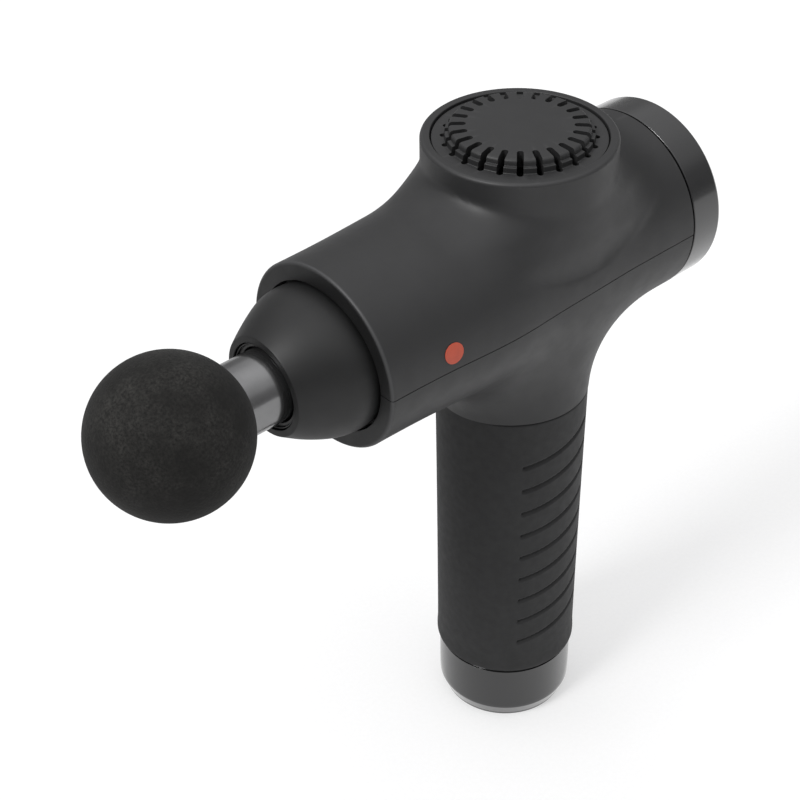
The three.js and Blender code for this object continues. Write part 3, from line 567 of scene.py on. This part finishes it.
def make_grip(material):
    fine, coarse = ((0.6, 3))
    quarter = np.concatenate([np.arange(-45, 60, fine), np.arange(60, 135, coarse)])
    angles = np.concatenate([quarter, quarter + 180])
    edge = 0.6
    rows = np.arange(GRIP_BOTTOM + 1, GRIP_TOP - 1, 0.45)
    corner = np.radians(np.linspace(0, 90, 5))
    lip = [(-edge + edge * math.cos(a), edge * math.sin(a)) for a in corner]
    profile = [(dr, GRIP_BOTTOM + edge - dz) for dr, dz in reversed(lip)]
    profile += [(0, z) for z in rows]
    profile += [(dr, GRIP_TOP - edge + dz) for dr, dz in lip]
    heights = np.array([z for _, z in profile])
    local = np.radians((angles + 90) % 180 - 90) * GRIP_RADIUS
    u, v = np.meshgrid(local, heights)
    sunk = GRIP_RELIEF * pressed(u, v)
    radius = grip_radius(heights)[:, None] + np.array([dr for dr, _ in profile])[:, None] - sunk
    a = np.radians(angles)[None, :]
    outside = np.stack([radius * np.cos(a), radius * np.sin(a), v], axis=-1).reshape(-1, 3)
    bore = [GRIP_INNER * np.cos(a[0]), GRIP_INNER * np.sin(a[0])]
    inner = [np.stack([*bore, np.full(len(angles), z)], axis=-1) for z in (GRIP_TOP, GRIP_BOTTOM)]
    points = np.vstack([outside] + inner)
    columns, layers = len(angles), len(profile) + 2
    faces = []
    for row in range(layers):
        low, high = row * columns, (row + 1) % layers * columns
        for i in range(columns):
            after = (i + 1) % columns
            faces.append((low + i, low + after, high + after, high + i))
    grip = mesh_object("grip_sleeve_rubber", points, faces)
    return finished(smooth(grip, 60), "housing", "grip_rubber", material, "grip_sleeve")


def grip_radius(z):
    """The sleeve widens slightly towards the neck, and its lower lip swells a little."""
    share = (z - GRIP_BOTTOM) / (GRIP_TOP - GRIP_BOTTOM)
    lip = 0.2 * np.exp(-(((z - GRIP_BOTTOM - 1.5) / 2.5) ** 2))
    return GRIP_RADIUS + (GRIP_TOP_RADIUS - GRIP_RADIUS) * share ** 1.6 + lip


SHADOW_GAP = 1.2  # the dark line between the sleeve and the base cap


def make_base_cap(material):
    wall, gap = 2.2, 0.3
    tube_radius = reach("handle_tube")[1][0]
    tube_bottom = reach("handle_tube")[0][2]
    groove = BASE_BOTTOM + FOOT_HEIGHT + gap
    floor = BASE_BOTTOM + 4.5
    cap = turned("base_cap_cup", [
        (0, BASE_BOTTOM), (FOOT_INNER - gap, BASE_BOTTOM), (FOOT_INNER - gap, groove),
        (FOOT_RADIUS + gap, groove), (FOOT_RADIUS + gap, BASE_BOTTOM),
        (BASE_RADIUS - 1.95, BASE_BOTTOM, 0.1), (BASE_RADIUS - 1.9, BASE_BOTTOM + 0.7, 0.1),
        (BASE_RADIUS - 1.75, BASE_BOTTOM + 0.8, 0.1), (BASE_RADIUS - 0.05, BASE_BOTTOM + 5.0, 0.4),
        (BASE_RADIUS, BASE_BOTTOM + 6.0, 0.5), (BASE_RADIUS, BASE_TOP - SHADOW_GAP, 0.1),
        (BASE_RADIUS - 0.6, BASE_TOP - SHADOW_GAP, 0.1), (BASE_RADIUS - 0.6, BASE_TOP),
        (tube_radius + gap, BASE_TOP), (tube_radius + gap, tube_bottom - gap),
        (BASE_RADIUS - wall, tube_bottom - gap), (BASE_RADIUS - wall, floor, 1.5), (0, floor),
    ], segments=256)
    low, high = BASE_BOTTOM - 5, BASE_BOTTOM + 12
    cuts = [block("rocker_hole", (-6, ROCKER_Y - 3.8, low), (6, ROCKER_Y + 3.8, high)),
            turned("port_hole", [(0, low), (PORT_RADIUS + gap, low), (PORT_RADIUS + gap, high), (0, high)],
                   centre=(0, PORT_Y), segments=48)]
    for x, y in BASE_SCREWS:
        cuts.append(turned("screw_hole", [
            (0, low), (2.6, low), (2.6, BASE_BOTTOM + 2.7), (1.5, BASE_BOTTOM + 2.7), (1.5, high), (0, high),
        ], centre=(x, y), segments=40))
    for tool in cuts:
        boolean(cap, tool)
    return finished(smooth(cap), "housing", "gloss_plastic", material, "base_cap")



def make_foot_ring(material):
    ring = turned("foot_ring_rubber", [
        (FOOT_INNER, BASE_BOTTOM, 0.3), (FOOT_RADIUS, BASE_BOTTOM, 0.3),
        (FOOT_RADIUS, BASE_BOTTOM + FOOT_HEIGHT), (FOOT_INNER, BASE_BOTTOM + FOOT_HEIGHT)], segments=128)
    return finished(smooth(ring), "housing", "black_rubber", material, "foot_ring")


def make_charge_port(material):
    mouth, top = BASE_BOTTOM + 0.5, reach("charge_port")[1][2]
    port = turned("charge_port_socket", [
        (2.6, mouth, 0.2), (PORT_RADIUS, mouth, 0.3), (PORT_RADIUS, top), (0, top), (0, mouth + 2),
        (0.9, mouth + 2, 0.3), (0.9, top - 3), (2.6, top - 3)], centre=(0, PORT_Y), segments=48)
    return finished(smooth(port), "housing", "black_rubber", material, "charge_port")


def make_rocker(material):
    """The power switch's rocker, tilted to its off side."""
    low, high = reach("power_rocker")
    width = (high[1] - low[1]) / 2
    pivot, tilt = -186.8, math.radians(6)
    outline = rounded([(-5.5, 4), (-5.5, -0.7, 0.5), (0, 0.5, 3), (5.5, -0.7, 0.5), (5.5, 4)], True)
    points = []
    for y in (-width, -width + 0.35, width - 0.35, width):
        inset = 0.35 if abs(y) == width else 0
        for x, h in outline:
            x -= math.copysign(inset, x) if abs(x) > 1e-9 else 0
            h = h - 2 + (inset if h < 3 else 0)
            points.append((x * math.cos(tilt) - h * math.sin(tilt), ROCKER_Y + y,
                           pivot + x * math.sin(tilt) + h * math.cos(tilt)))
    count = len(outline)
    faces = [list(range(count)), list(range(3 * count, 4 * count))]
    for layer in range(3):
        base = layer * count
        faces += [(base + i, base + (i + 1) % count, base + count + (i + 1) % count, base + count + i)
                  for i in range(count)]
    rocker = mesh_object("power_rocker_cap", points, faces)
    return finished(smooth(rocker, 50), "rocker", "gloss_plastic", material, "power_rocker")


def make_base_screw(index, material):
    x, y = BASE_SCREWS[index]
    head = BASE_BOTTOM + 0.6
    shank, head_radius = 1.2, 2.2
    screw = turned(f"base_screw_{index + 1}_steel", [
        (0, head), (head_radius, head, 0.5), (head_radius, head + 1.7), (shank, head + 1.7),
        (shank, head + 8, 0.3), (0, head + 8)], centre=(x, y), segments=48)
    for turn in (0, 90):
        a = math.radians(turn)
        outline = [(RECESS_HALF_LENGTH * sx, RECESS_HALF_WIDTH * sy)
                   for sx, sy in ((-1, -1), (1, -1), (1, 1), (-1, 1))]
        outline = [(x + u * math.cos(a) - v * math.sin(a), y + u * math.sin(a) + v * math.cos(a))
                   for u, v in outline]
        boolean(screw, prism("recess", outline, head - 1, head + 0.9))
    return finished(smooth(screw), "housing", "steel", material, f"base_screw_{index + 1}")


# ---- head ----------------------------------------------------------------------------------------------
def make_stem(material):
    grooves = []
    for y in O_RING_PLACES:
        grooves += [(PLUG_RADIUS, y + 1.1, 0.15), (PLUG_RADIUS - 1.6, y + 1.1), (PLUG_RADIUS - 1.6, y - 1.1),
                    (PLUG_RADIUS, y - 1.1, 0.15)]
    stem = turned("head_stem_skin", [
        (0, STEM_REAR), (PLUG_RADIUS, STEM_REAR, 1.0), *grooves, (PLUG_RADIUS, STEM_COLLAR),
        (STEM_RADIUS, STEM_COLLAR, 0.5), (STEM_RADIUS, -118, 0.3), (8, -118), (8, STEM_FRONT, 0.5),
        (0, STEM_FRONT)], axis="y", segments=160)
    return finished(smooth(stem), "head", "stem_plastic", material, "head_stem")


def make_ball(material):
    mouth = STEM_RADIUS + 0.15
    start = math.acos(mouth / BALL_RADIUS)
    outline = [(0, -132.4), (8.3, -132.4), (8.3, -118.3), (mouth, -118.3)]
    angles = np.linspace(start, -math.pi / 2, 72)
    outline += [(BALL_RADIUS * math.cos(a), BALL_CENTRE + BALL_RADIUS * math.sin(a)) for a in angles[:-1]]
    outline += [(0, BALL_CENTRE - BALL_RADIUS)]
    ball = turned("head_ball_foam", outline, axis="y", segments=144)
    return finished(smooth(ball, 50), "head", "foam", material, "head_ball")


def make_o_ring(index, material):
    centre, tube, sides = 7.8, 0.75, 20
    outline = [(centre + tube * math.cos(a), O_RING_PLACES[index] + tube * math.sin(a))
               for a in np.arange(sides) * 2 * math.pi / sides]
    ring = turned(f"stem_o_ring_{index + 1}_rubber", outline, axis="y", segments=96)
    return finished(smooth(ring), "head", "black_rubber", material, f"stem_o_ring_{index + 1}")


def make_plunger(material):
    inner = reach("plunger")[0][1] + 28.5
    front, rear, socket = reach("plunger")[0][1], reach("plunger")[1][1], 8.8
    plunger = turned("plunger_tube", [
        (0, inner), (socket, inner), (socket, front, 0.6), (STEM_RADIUS, front, 0.6),
        (STEM_RADIUS, rear, 0.4),
        (5.0, rear), (5.0, -34), (0, -34)], axis="y", segments=128)
    pin = turned("pin_bore", [(0, -20), (1.8, -20), (1.8, 20), (0, 20)], segments=32)
    pin.data.transform(Matrix.Translation((0, 0, -AXIS * MM)))
    pin.data.transform(Matrix.Rotation(math.radians(90), 4, "Y"))
    pin.data.transform(Matrix.Translation((0, -26 * MM, AXIS * MM)))
    boolean(plunger, pin)
    return finished(smooth(plunger), "plunger", "aluminium", material, "plunger")


# ---- materials -----------------------------------------------------------------------------------------
PAINTED_HIGHLIGHT = 2.3  # how much paler the painted highlight along the front edge and the boss's rim is
FACE_SHADE = 0.3  # how dark the painted shade on the barrel's front face is


class Nodes:
    """A material under construction: its nodes, its Principled shader and object coordinates in metres."""

    def __init__(self, name):
        self.material = bpy.data.materials.new(name)
        self.material.use_nodes = True
        self.tree = self.material.node_tree
        self.shader = self.tree.nodes["Principled BSDF"]
        self.place = self.tree.nodes.new("ShaderNodeTexCoord").outputs["Object"]

    def add(self, kind, inputs=None, **settings):
        node = self.tree.nodes.new(kind)
        for key, value in settings.items():
            setattr(node, key, value)
        for key, value in (inputs or {}).items():
            self.link(value, node.inputs[key])
        return node

    def link(self, value, socket):
        if isinstance(value, bpy.types.NodeSocket):
            self.tree.links.new(value, socket)
        else:
            socket.default_value = value

    def noise(self, size_mm, detail=3.0, roughness=0.5, stretch=None):
        """Noise with features of about the given size."""
        place = self.place
        if stretch:
            place = self.add("ShaderNodeMapping", {"Vector": place, "Scale": stretch}).outputs["Vector"]
        return self.add("ShaderNodeTexNoise", {
            "Vector": place, "Scale": 1 / (size_mm * MM), "Detail": detail, "Roughness": roughness,
        }).outputs["Fac"]

    def span(self, value, low, high, start=0.3, end=0.7):
        """The value spread from low to high as it goes from start to end."""
        return self.add("ShaderNodeMapRange", {
            "Value": value, "From Min": start, "From Max": end, "To Min": low, "To Max": high,
        }).outputs["Result"]

    def maths(self, operation, a, b=0.0):
        return self.add("ShaderNodeMath", {0: a, 1: b}, operation=operation).outputs[0]

    def mix(self, share, a, b):
        node = self.add("ShaderNodeMix", data_type="RGBA")
        self.link(share, node.inputs[0])
        self.link(a, node.inputs[6])
        self.link(b, node.inputs[7])
        return node.outputs[2]

    def bump(self, height, depth_mm, strength=1.0, below=None):
        inputs = {"Height": height, "Distance": depth_mm * MM, "Strength": strength}
        if below is not None:
            inputs["Normal"] = below
        return self.add("ShaderNodeBump", inputs).outputs["Normal"]

    def finish(self, **inputs):
        for key, value in inputs.items():
            self.link(value, self.shader.inputs[key])
        return self.material


def grey(level, blue=0.0):
    return (level, level, level * (1 + blue), 1)


def tinted(colour, factor):
    return tuple(c * factor for c in colour[:3]) + (1,)


def moulded(name, colour, roughness, grain_mm=0.35, grain_depth=0.02, mottle_mm=9.0, variation=0.12,
            edge_wear_and_highlight=1.35, metallic=0.0, ior=1.5, sheen=0.0, coat=0.0, coat_roughness=0.1, crease_shade=1.0,
            painted_light=None):
    """A moulded or painted surface: fine grain, faint clouds of tone and gloss, lighter sharp edges (partly
    wear, partly painted highlight), painted shade in creases and, where masks are given, painted face shade
    and a painted highlight band."""
    n = Nodes(name)
    clouds = n.noise(mottle_mm, 4.0, 0.6)
    tone = n.mix(n.span(clouds, 0, 1), tinted(colour, 1 - variation), tinted(colour, 1 + variation))
    edge = n.add("ShaderNodeNewGeometry").outputs["Pointiness"]
    # painted shade: darker where the surface is concave, in creases and grooves
    crease_shaded = n.mix(n.span(edge, 0, 1, 0.488, 0.45), tone, tinted(colour, crease_shade))
    # lighter on sharp edges: partly edge wear, partly painted highlight
    wear_and_painted_light = n.mix(n.span(edge, 0, 1, 0.53, 0.66), crease_shaded, tinted(colour, edge_wear_and_highlight))
    if painted_light:
        bright, dark = painted_light(n)
        # painted shade on the barrel's front face
        wear_and_painted_light = n.mix(dark, wear_and_painted_light, tinted(colour, FACE_SHADE))
        # painted highlight along the front face's edge and, faintly, the boss's rim
        wear_and_painted_light = n.mix(bright, wear_and_painted_light, tinted(colour, PAINTED_HIGHLIGHT))
    speck = n.noise(grain_mm, 2.0)
    return n.finish(**{
        "Base Color": wear_and_painted_light,
        "Roughness": n.span(n.noise(mottle_mm * 0.4, 3.0), roughness * 0.93, min(roughness * 1.07, 1)),
        "Metallic": metallic,
        "IOR": ior,
        "Sheen Weight": sheen,
        "Sheen Roughness": 0.5,
        "Coat Weight": coat,
        "Coat Roughness": coat_roughness,
        "Normal": n.bump(speck, grain_depth),
    })


def housing_highlight_and_shade(n):
    """Masks for the painted highlight along the edge of the barrel's front face and, more faintly, round the
    boss's rim, and for the painted shade on that front face."""
    parts = n.add("ShaderNodeSeparateXYZ", {"Vector": n.place}).outputs

    def span_mm(value, low, high, start, end):
        return n.span(value, low, high, start * MM, end * MM)

    def across(a, b):
        return n.maths("SQRT", n.maths("ADD", n.maths("POWER", a, 2.0), n.maths("POWER", b, 2.0)))

    height = n.maths("DIVIDE", n.maths("SUBTRACT", parts["Z"], AXIS * MM), NOSE_FLAT)
    from_barrel = across(parts["X"], height)
    front = span_mm(parts["Y"], 1, 0, BARREL_FRONT + 0.5, BARREL_FRONT + 1.0)
    lip = n.maths("MULTIPLY", front, span_mm(from_barrel, 0, 1, 31.1, 31.7))
    from_boss = across(parts["X"], n.maths("SUBTRACT", parts["Y"], BOSS_Y * MM))
    upper = span_mm(parts["Z"], 0, 0.25, AXIS + BOSS_TOP - 1.5, AXIS + BOSS_TOP - 0.6)
    rim = n.maths("MULTIPLY", upper, span_mm(from_boss, 0, 1, 30.0, 30.6))
    face = n.maths("MULTIPLY", front, span_mm(from_barrel, 1, 0, 30.7, 31.1))
    return n.maths("MAXIMUM", lip, rim), face


def foam(name, colour):
    """Closed-cell foam: pinhole cells, a fine grain and paler scuffed patches."""
    n = Nodes(name)
    patches = n.span(n.noise(18, 5.0, 0.65), 0, 1, 0.42, 0.72)
    cells = n.add("ShaderNodeTexVoronoi", {"Vector": n.place, "Scale": 1 / (1.1 * MM)}).outputs["Distance"]
    fine = n.noise(0.9, 4.0, 0.75)
    light = n.mix(patches, tinted(colour, 1.15), tinted(colour, 3.2))
    tone = n.mix(n.span(fine, 0, 1, 0.36, 0.66), tinted(colour, 0.5), light)
    pits = n.bump(n.span(cells, 0, 1, 0.0, 0.5), 0.07, 0.7)
    return n.finish(**{
        "Base Color": tone,
        "Roughness": n.span(fine, 0.82, 0.98),
        "Specular IOR Level": 0.22,
        "Sheen Weight": 0.04,
        "Normal": n.bump(fine, 0.12, 0.9, pits),
    })


def metal(name, colour, roughness, brush=(1, 1, 30), variation=0.1):
    """Machined metal with fine tool lines and slight stains."""
    n = Nodes(name)
    lines = n.noise(2.0, 3.0, 0.6, stretch=brush)
    stains = n.span(n.noise(6, 3.0), 0, 1)
    return n.finish(**{
        "Base Color": n.mix(stains, tinted(colour, 1 - variation), tinted(colour, 1 + variation)),
        "Metallic": 1.0,
        "Roughness": n.span(lines, roughness * 0.75, roughness * 1.25),
        "Normal": n.bump(lines, 0.02, 0.5),
    })


def winding(name, colour):
    """Enamelled wire laid side by side."""
    n = Nodes(name)
    turns = n.add("ShaderNodeTexWave", {
        "Vector": n.place, "Scale": 1 / (3.2 * MM), "Distortion": 0.6, "Detail": 2.0,
    }, bands_direction="Z").outputs["Fac"]
    return n.finish(**{
        "Base Color": n.mix(turns, tinted(colour, 0.55), colour),
        "Metallic": 0.9,
        "Roughness": 0.32,
        "Normal": n.bump(turns, 0.15),
    })


def circuit_board(name, colour):
    """Solder mask over copper tracks."""
    n = Nodes(name)
    tracks = n.add("ShaderNodeTexBrick", {
        "Vector": n.place, "Scale": 1 / (6 * MM), "Mortar Size": 0.03, "Color1": (0, 0, 0, 1),
        "Color2": (0, 0, 0, 1), "Mortar": (1, 1, 1, 1),
    }).outputs["Color"]
    base = n.mix(n.span(n.noise(3, 3.0), 0, 1), tinted(colour, 0.85), tinted(colour, 1.15))
    return n.finish(**{
        "Base Color": n.mix(tracks, base, tinted(colour, 1.9)),
        "Roughness": 0.35,
        "Coat Weight": 0.4,
        "Normal": n.bump(tracks, 0.03),
    })


def display_glass(name):
    """Black glass with a printed ring of level marks and a touch key, all round its centre."""
    n = Nodes(name)
    local = n.add("ShaderNodeVectorMath", {0: n.place, 1: (0, 0, -AXIS * MM)}, operation="ADD").outputs[0]
    parts = n.add("ShaderNodeSeparateXYZ", {"Vector": local}).outputs

    def ring(radius_mm, half_mm):
        off = n.maths("ABSOLUTE", n.maths("SUBTRACT", radius, radius_mm * MM))
        return n.maths("LESS_THAN", off, half_mm * MM)

    squares = n.maths("ADD", n.maths("POWER", parts["X"], 2.0), n.maths("POWER", parts["Z"], 2.0))
    radius = n.maths("SQRT", squares)
    angle = n.maths("ARCTAN2", parts["Z"], parts["X"])
    marks = n.maths("GREATER_THAN", n.maths("SINE", n.maths("MULTIPLY", angle, 20.0)), 0.2)
    upper = n.maths("GREATER_THAN", parts["Z"], -0.012)
    level = n.maths("MULTIPLY", n.maths("MULTIPLY", ring(22, 1.1), marks), upper)
    key = ring(6.5, 0.35)
    print_mask = n.maths("MAXIMUM", level, key)
    smears = n.noise(14, 4.0)
    return n.finish(**{
        "Base Color": n.mix(print_mask, (0.004, 0.004, 0.005, 1), (0.42, 0.44, 0.46, 1)),
        "Roughness": n.span(smears, 0.05, 0.12),
        "Coat Weight": 1.0,
        "Coat Roughness": 0.03,
        "Normal": n.bump(n.noise(20, 1.0), 0.01, 0.3),
    })


def make_materials():
    """One material for each of the record's slots."""
    return {
        # the soft plastic carries the painted highlight on the front edge and rim and the painted shade on
        # the front face
        "soft_plastic": moulded("soft_touch_charcoal", grey(0.0195, 0.03), 0.5, 0.32, 0.012, 16, 0.06, 1.4,
                                ior=1.47, painted_light=housing_highlight_and_shade),
        "gloss_plastic": moulded("satin_gloss_charcoal", grey(0.008, 0.06), 0.24, 0.5, 0.003, 14, 0.05, 1.3,
                                 ior=1.5, coat=0.8, coat_roughness=0.1),
        "stem_plastic": moulded("satin_anodised_stem", grey(0.21, 0.01), 0.17, 0.3, 0.006, 8, 0.08, 1.3,
                                metallic=0.9),
        "foam": foam("closed_cell_foam", (0.0128, 0.0124, 0.0116, 1)),
        # the grip rubber gets strong painted shade in its grooves
        "grip_rubber": moulded("matte_grip_rubber", grey(0.0185, 0.03), 0.68, 0.4, 0.03, 7, 0.1, 1.8,
                               ior=1.42, sheen=0.02, crease_shade=0.12),
        "black_rubber": moulded("black_seal_rubber", grey(0.004), 0.3, 1.2, 0.004, 5, 0.15, 1.8, ior=1.4),
        "lens_glass": display_glass("display_glass"),
        "steel": metal("bright_steel", (0.55, 0.56, 0.58, 1), 0.25),
        "aluminium": metal("cast_aluminium", (0.42, 0.43, 0.45, 1), 0.42, (1, 12, 1)),
        "copper": winding("enamelled_copper", (0.55, 0.2, 0.07, 1)),
        "bronze": metal("sintered_bronze", (0.45, 0.27, 0.1, 1), 0.4, (4, 1, 4)),
        "white_plastic": moulded("white_nylon", (0.7, 0.7, 0.66, 1), 0.45, 0.5, 0.02, 8, 0.04, 1.05),
        "board": circuit_board("circuit_board", (0.012, 0.11, 0.04, 1)),
        "cell_wrap": moulded("shrink_wrap", (0.03, 0.16, 0.45, 1), 0.25, 2.0, 0.03, 12, 0.06, 1.2, coat=0.5),
        "accent": moulded("printed_accent", (0.48, 0.068, 0.03, 1), 0.42, 0.3, 0.01, 2, 0.06, 1.1),
        "cable_red": moulded("red_cable", (0.4, 0.02, 0.02, 1), 0.4, 0.6, 0.01, 6, 0.06, 1.2),
        "cable_black": moulded("black_cable", grey(0.012), 0.4, 0.6, 0.01, 6, 0.1, 1.4),
    }


def finish_frame(materials):
    """Gives every CAD node that stays in view its slot's material."""
    slots = {}
    for subpart in frame["record"]["subparts"]:
        slots[subpart["node"]] = subpart["material_slot"]
    for name, node in frame["nodes"].items():
        node.data.materials.clear()
        node.data.materials.append(materials[slots[name]])


# ---- stage ---------------------------------------------------------------------------------------------
CAMERA_PLACE = (356.30, -368.00, 518.41)
CAMERA_AZIMUTH, CAMERA_ELEVATION, CAMERA_ROLL = 48.354, 37.101, -0.974
CAMERA_LENS, CAMERA_SENSOR = 83.76, 36.0

FLOOR_SIZE = 4000.0
FLOOR_DROP = 0.15  # how far the floor is below the foot
FLOOR_GLOW = 0.45  # the glow that the camera sees
BOUNCED_GLOW = 0.35  # the glow behind the gun that lights it from below
MIRRORED_GLOW = 0.4  # the glow behind the gun that glossy pieces mirror
BEHIND_REACH = (-160, 60)  # where that glow starts and is full, from the front left to the rear right
FOOT_GLOW = 0.3  # the glow that the foot mirrors
FOOT_REACH = (26, 29)  # where that glow starts and stops to fade, from the handle's axis
REAR_SHADE = 0.72  # brightness of the side that the rear cap points to
SKY = [(0.0, 0.55), (0.12, 0.4), (0.35, 0.5), (0.6, 1.08), (1.0, 1.9)]  # height of the view and brightness
FRONT_SHADE = 0.2  # brightness of the side that the nose points to
SKY_STRENGTH = 0.85
KEY_ENERGY, KEY_ANGLE = 1.95, 20
KEY_TOWARDS = (-0.03, -0.72, 0.7)


def make_camera():
    """The camera looks from the front and right, from above."""
    az, el, roll = (math.radians(a) for a in (CAMERA_AZIMUTH, CAMERA_ELEVATION, CAMERA_ROLL))
    back = Vector((math.sin(az) * math.cos(el), -math.cos(az) * math.cos(el), math.sin(el)))
    level = Vector((math.cos(az), math.sin(az), 0))
    over = back.cross(level)
    right = level * math.cos(roll) + over * math.sin(roll)
    up = over * math.cos(roll) - level * math.sin(roll)
    camera = bpy.data.objects.new("camera", bpy.data.cameras.new("camera"))
    camera.data.lens = CAMERA_LENS
    camera.data.sensor_width = CAMERA_SENSOR
    camera.data.clip_start = 0.01
    turn = Matrix((right, up, back)).transposed().to_4x4()
    camera.matrix_world = Matrix.Translation(Vector(CAMERA_PLACE) * MM) @ turn
    bpy.context.scene.collection.objects.link(camera)
    bpy.context.scene.camera = camera


def make_floor():
    size = FLOOR_SIZE
    floor = mesh_object("floor", [(-size, -size, 0), (size, -size, 0), (size, size, 0), (-size, size, 0)],
                        [(0, 1, 2, 3)])
    floor.data.transform(Matrix.Translation((0, 0, (BASE_BOTTOM - FLOOR_DROP) * MM)))
    n = Nodes("pale_floor")
    paper = n.noise(1.5, 4.0)
    rays = n.add("ShaderNodeLightPath").outputs
    centre = n.add("ShaderNodeVectorMath", {0: n.place, 1: (1, 1, 0)}, operation="MULTIPLY").outputs["Vector"]
    away = n.add("ShaderNodeVectorMath", {0: centre}, operation="LENGTH").outputs["Value"]
    along = n.add("ShaderNodeVectorMath", {0: n.place, 1: (0.707, 0.707, 0)}, operation="DOT_PRODUCT")
    behind = n.span(along.outputs["Value"], 0, 1, *(reach_mm * MM for reach_mm in BEHIND_REACH))
    near_foot = n.span(away, FOOT_GLOW, 0, *(reach_mm * MM for reach_mm in FOOT_REACH))
    mirrored = n.add("ShaderNodeMath", {0: behind, 1: MIRRORED_GLOW, 2: near_foot}, operation="MULTIPLY_ADD")
    mirrored = mirrored.outputs[0]
    bounced = n.add("ShaderNodeMath", {0: behind, 1: BOUNCED_GLOW}, operation="MULTIPLY").outputs[0]
    glow = n.add("ShaderNodeMix", {"A": bounced, "B": FLOOR_GLOW, "Factor": rays["Is Camera Ray"]})
    glow = n.add("ShaderNodeMix", {
        "A": glow.outputs["Result"], "B": mirrored, "Factor": rays["Is Glossy Ray"]})
    floor.data.materials.append(n.finish(**{
        "Base Color": n.mix(n.span(paper, 0, 1), (0.5, 0.5, 0.5, 1), (0.52, 0.52, 0.52, 1)),
        "Roughness": 0.9,
        "Specular IOR Level": 0.1,
        "Emission Color": (1, 1, 1, 1),
        "Emission Strength": glow.outputs["Result"],
    }))


def make_light():
    """A bright tent, darker towards the horizon, behind a white backdrop, and one large soft key in front."""
    world = bpy.data.worlds.new("studio")
    bpy.context.scene.world = world
    world.use_nodes = True
    tree = world.node_tree
    place = tree.nodes.new("ShaderNodeTexCoord")
    parts = tree.nodes.new("ShaderNodeSeparateXYZ")
    ramp = tree.nodes.new("ShaderNodeValToRGB")
    tree.links.new(place.outputs["Generated"], parts.inputs["Vector"])
    tree.links.new(parts.outputs["Z"], ramp.inputs["Fac"])
    ramp.color_ramp.interpolation = "EASE"
    while len(ramp.color_ramp.elements) < len(SKY):
        ramp.color_ramp.elements.new(0.5)
    for element, (height, level) in zip(ramp.color_ramp.elements, SKY):
        element.position = height
        element.color = (level, level, level * 1.01, 1)
    side = tree.nodes.new("ShaderNodeMapRange")
    side.interpolation_type = "SMOOTHSTEP"
    for socket, value in (("From Min", -1.0), ("From Max", 0.1), ("To Min", FRONT_SHADE), ("To Max", 1.0)):
        side.inputs[socket].default_value = value
    tree.links.new(parts.outputs["Y"], side.inputs["Value"])
    rear = tree.nodes.new("ShaderNodeMapRange")
    rear.interpolation_type = "SMOOTHSTEP"
    for socket, value in (("From Min", 0.1), ("From Max", 0.7), ("To Min", 1.0), ("To Max", REAR_SHADE)):
        rear.inputs[socket].default_value = value
    tree.links.new(parts.outputs["Y"], rear.inputs["Value"])
    both = tree.nodes.new("ShaderNodeMath")
    both.operation = "MULTIPLY"
    tree.links.new(side.outputs["Result"], both.inputs[0])
    tree.links.new(rear.outputs["Result"], both.inputs[1])
    strength = tree.nodes.new("ShaderNodeMath")
    strength.operation = "MULTIPLY"
    strength.inputs[1].default_value = SKY_STRENGTH
    tree.links.new(both.outputs[0], strength.inputs[0])
    background = tree.nodes["Background"]
    tree.links.new(ramp.outputs["Color"], background.inputs["Color"])
    tree.links.new(strength.outputs[0], background.inputs["Strength"])
    backdrop = tree.nodes.new("ShaderNodeBackground")
    backdrop.inputs["Color"].default_value = (1, 1, 1, 1)
    rays = tree.nodes.new("ShaderNodeLightPath")
    seen = tree.nodes.new("ShaderNodeMixShader")
    tree.links.new(rays.outputs["Is Camera Ray"], seen.inputs[0])
    tree.links.new(background.outputs[0], seen.inputs[1])
    tree.links.new(backdrop.outputs[0], seen.inputs[2])
    tree.links.new(seen.outputs[0], tree.nodes["World Output"].inputs["Surface"])
    key = bpy.data.objects.new("key", bpy.data.lights.new("key", "SUN"))
    key.data.energy = KEY_ENERGY
    key.data.angle = math.radians(KEY_ANGLE)
    towards = Vector(KEY_TOWARDS).normalized()
    key.rotation_mode = "QUATERNION"
    key.rotation_quaternion = towards.to_track_quat("Z", "Y")
    bpy.context.scene.collection.objects.link(key)
    bpy.context.scene.view_settings.view_transform = "Standard"


# ---- assembly ------------------------------------------------------------------------------------------
materials = make_materials()
finish_frame(materials)
make_shells(materials["soft_plastic"])
make_vent_cap(materials["soft_plastic"])
make_nose_cone(materials["soft_plastic"])
make_nose_seal(materials["black_rubber"])
make_rear_cap(materials["gloss_plastic"])
make_lens(materials["lens_glass"])
make_accent(materials["accent"])
make_grip(materials["grip_rubber"])
make_base_cap(materials["gloss_plastic"])
make_foot_ring(materials["black_rubber"])
make_charge_port(materials["black_rubber"])
make_rocker(materials["gloss_plastic"])
for screw in range(len(BASE_SCREWS)):
    make_base_screw(screw, materials["steel"])
make_stem(materials["stem_plastic"])
make_ball(materials["foam"])
for ring in range(len(O_RING_PLACES)):
    make_o_ring(ring, materials["black_rubber"])
make_plunger(materials["aluminium"])
make_floor()
make_light()
make_camera()
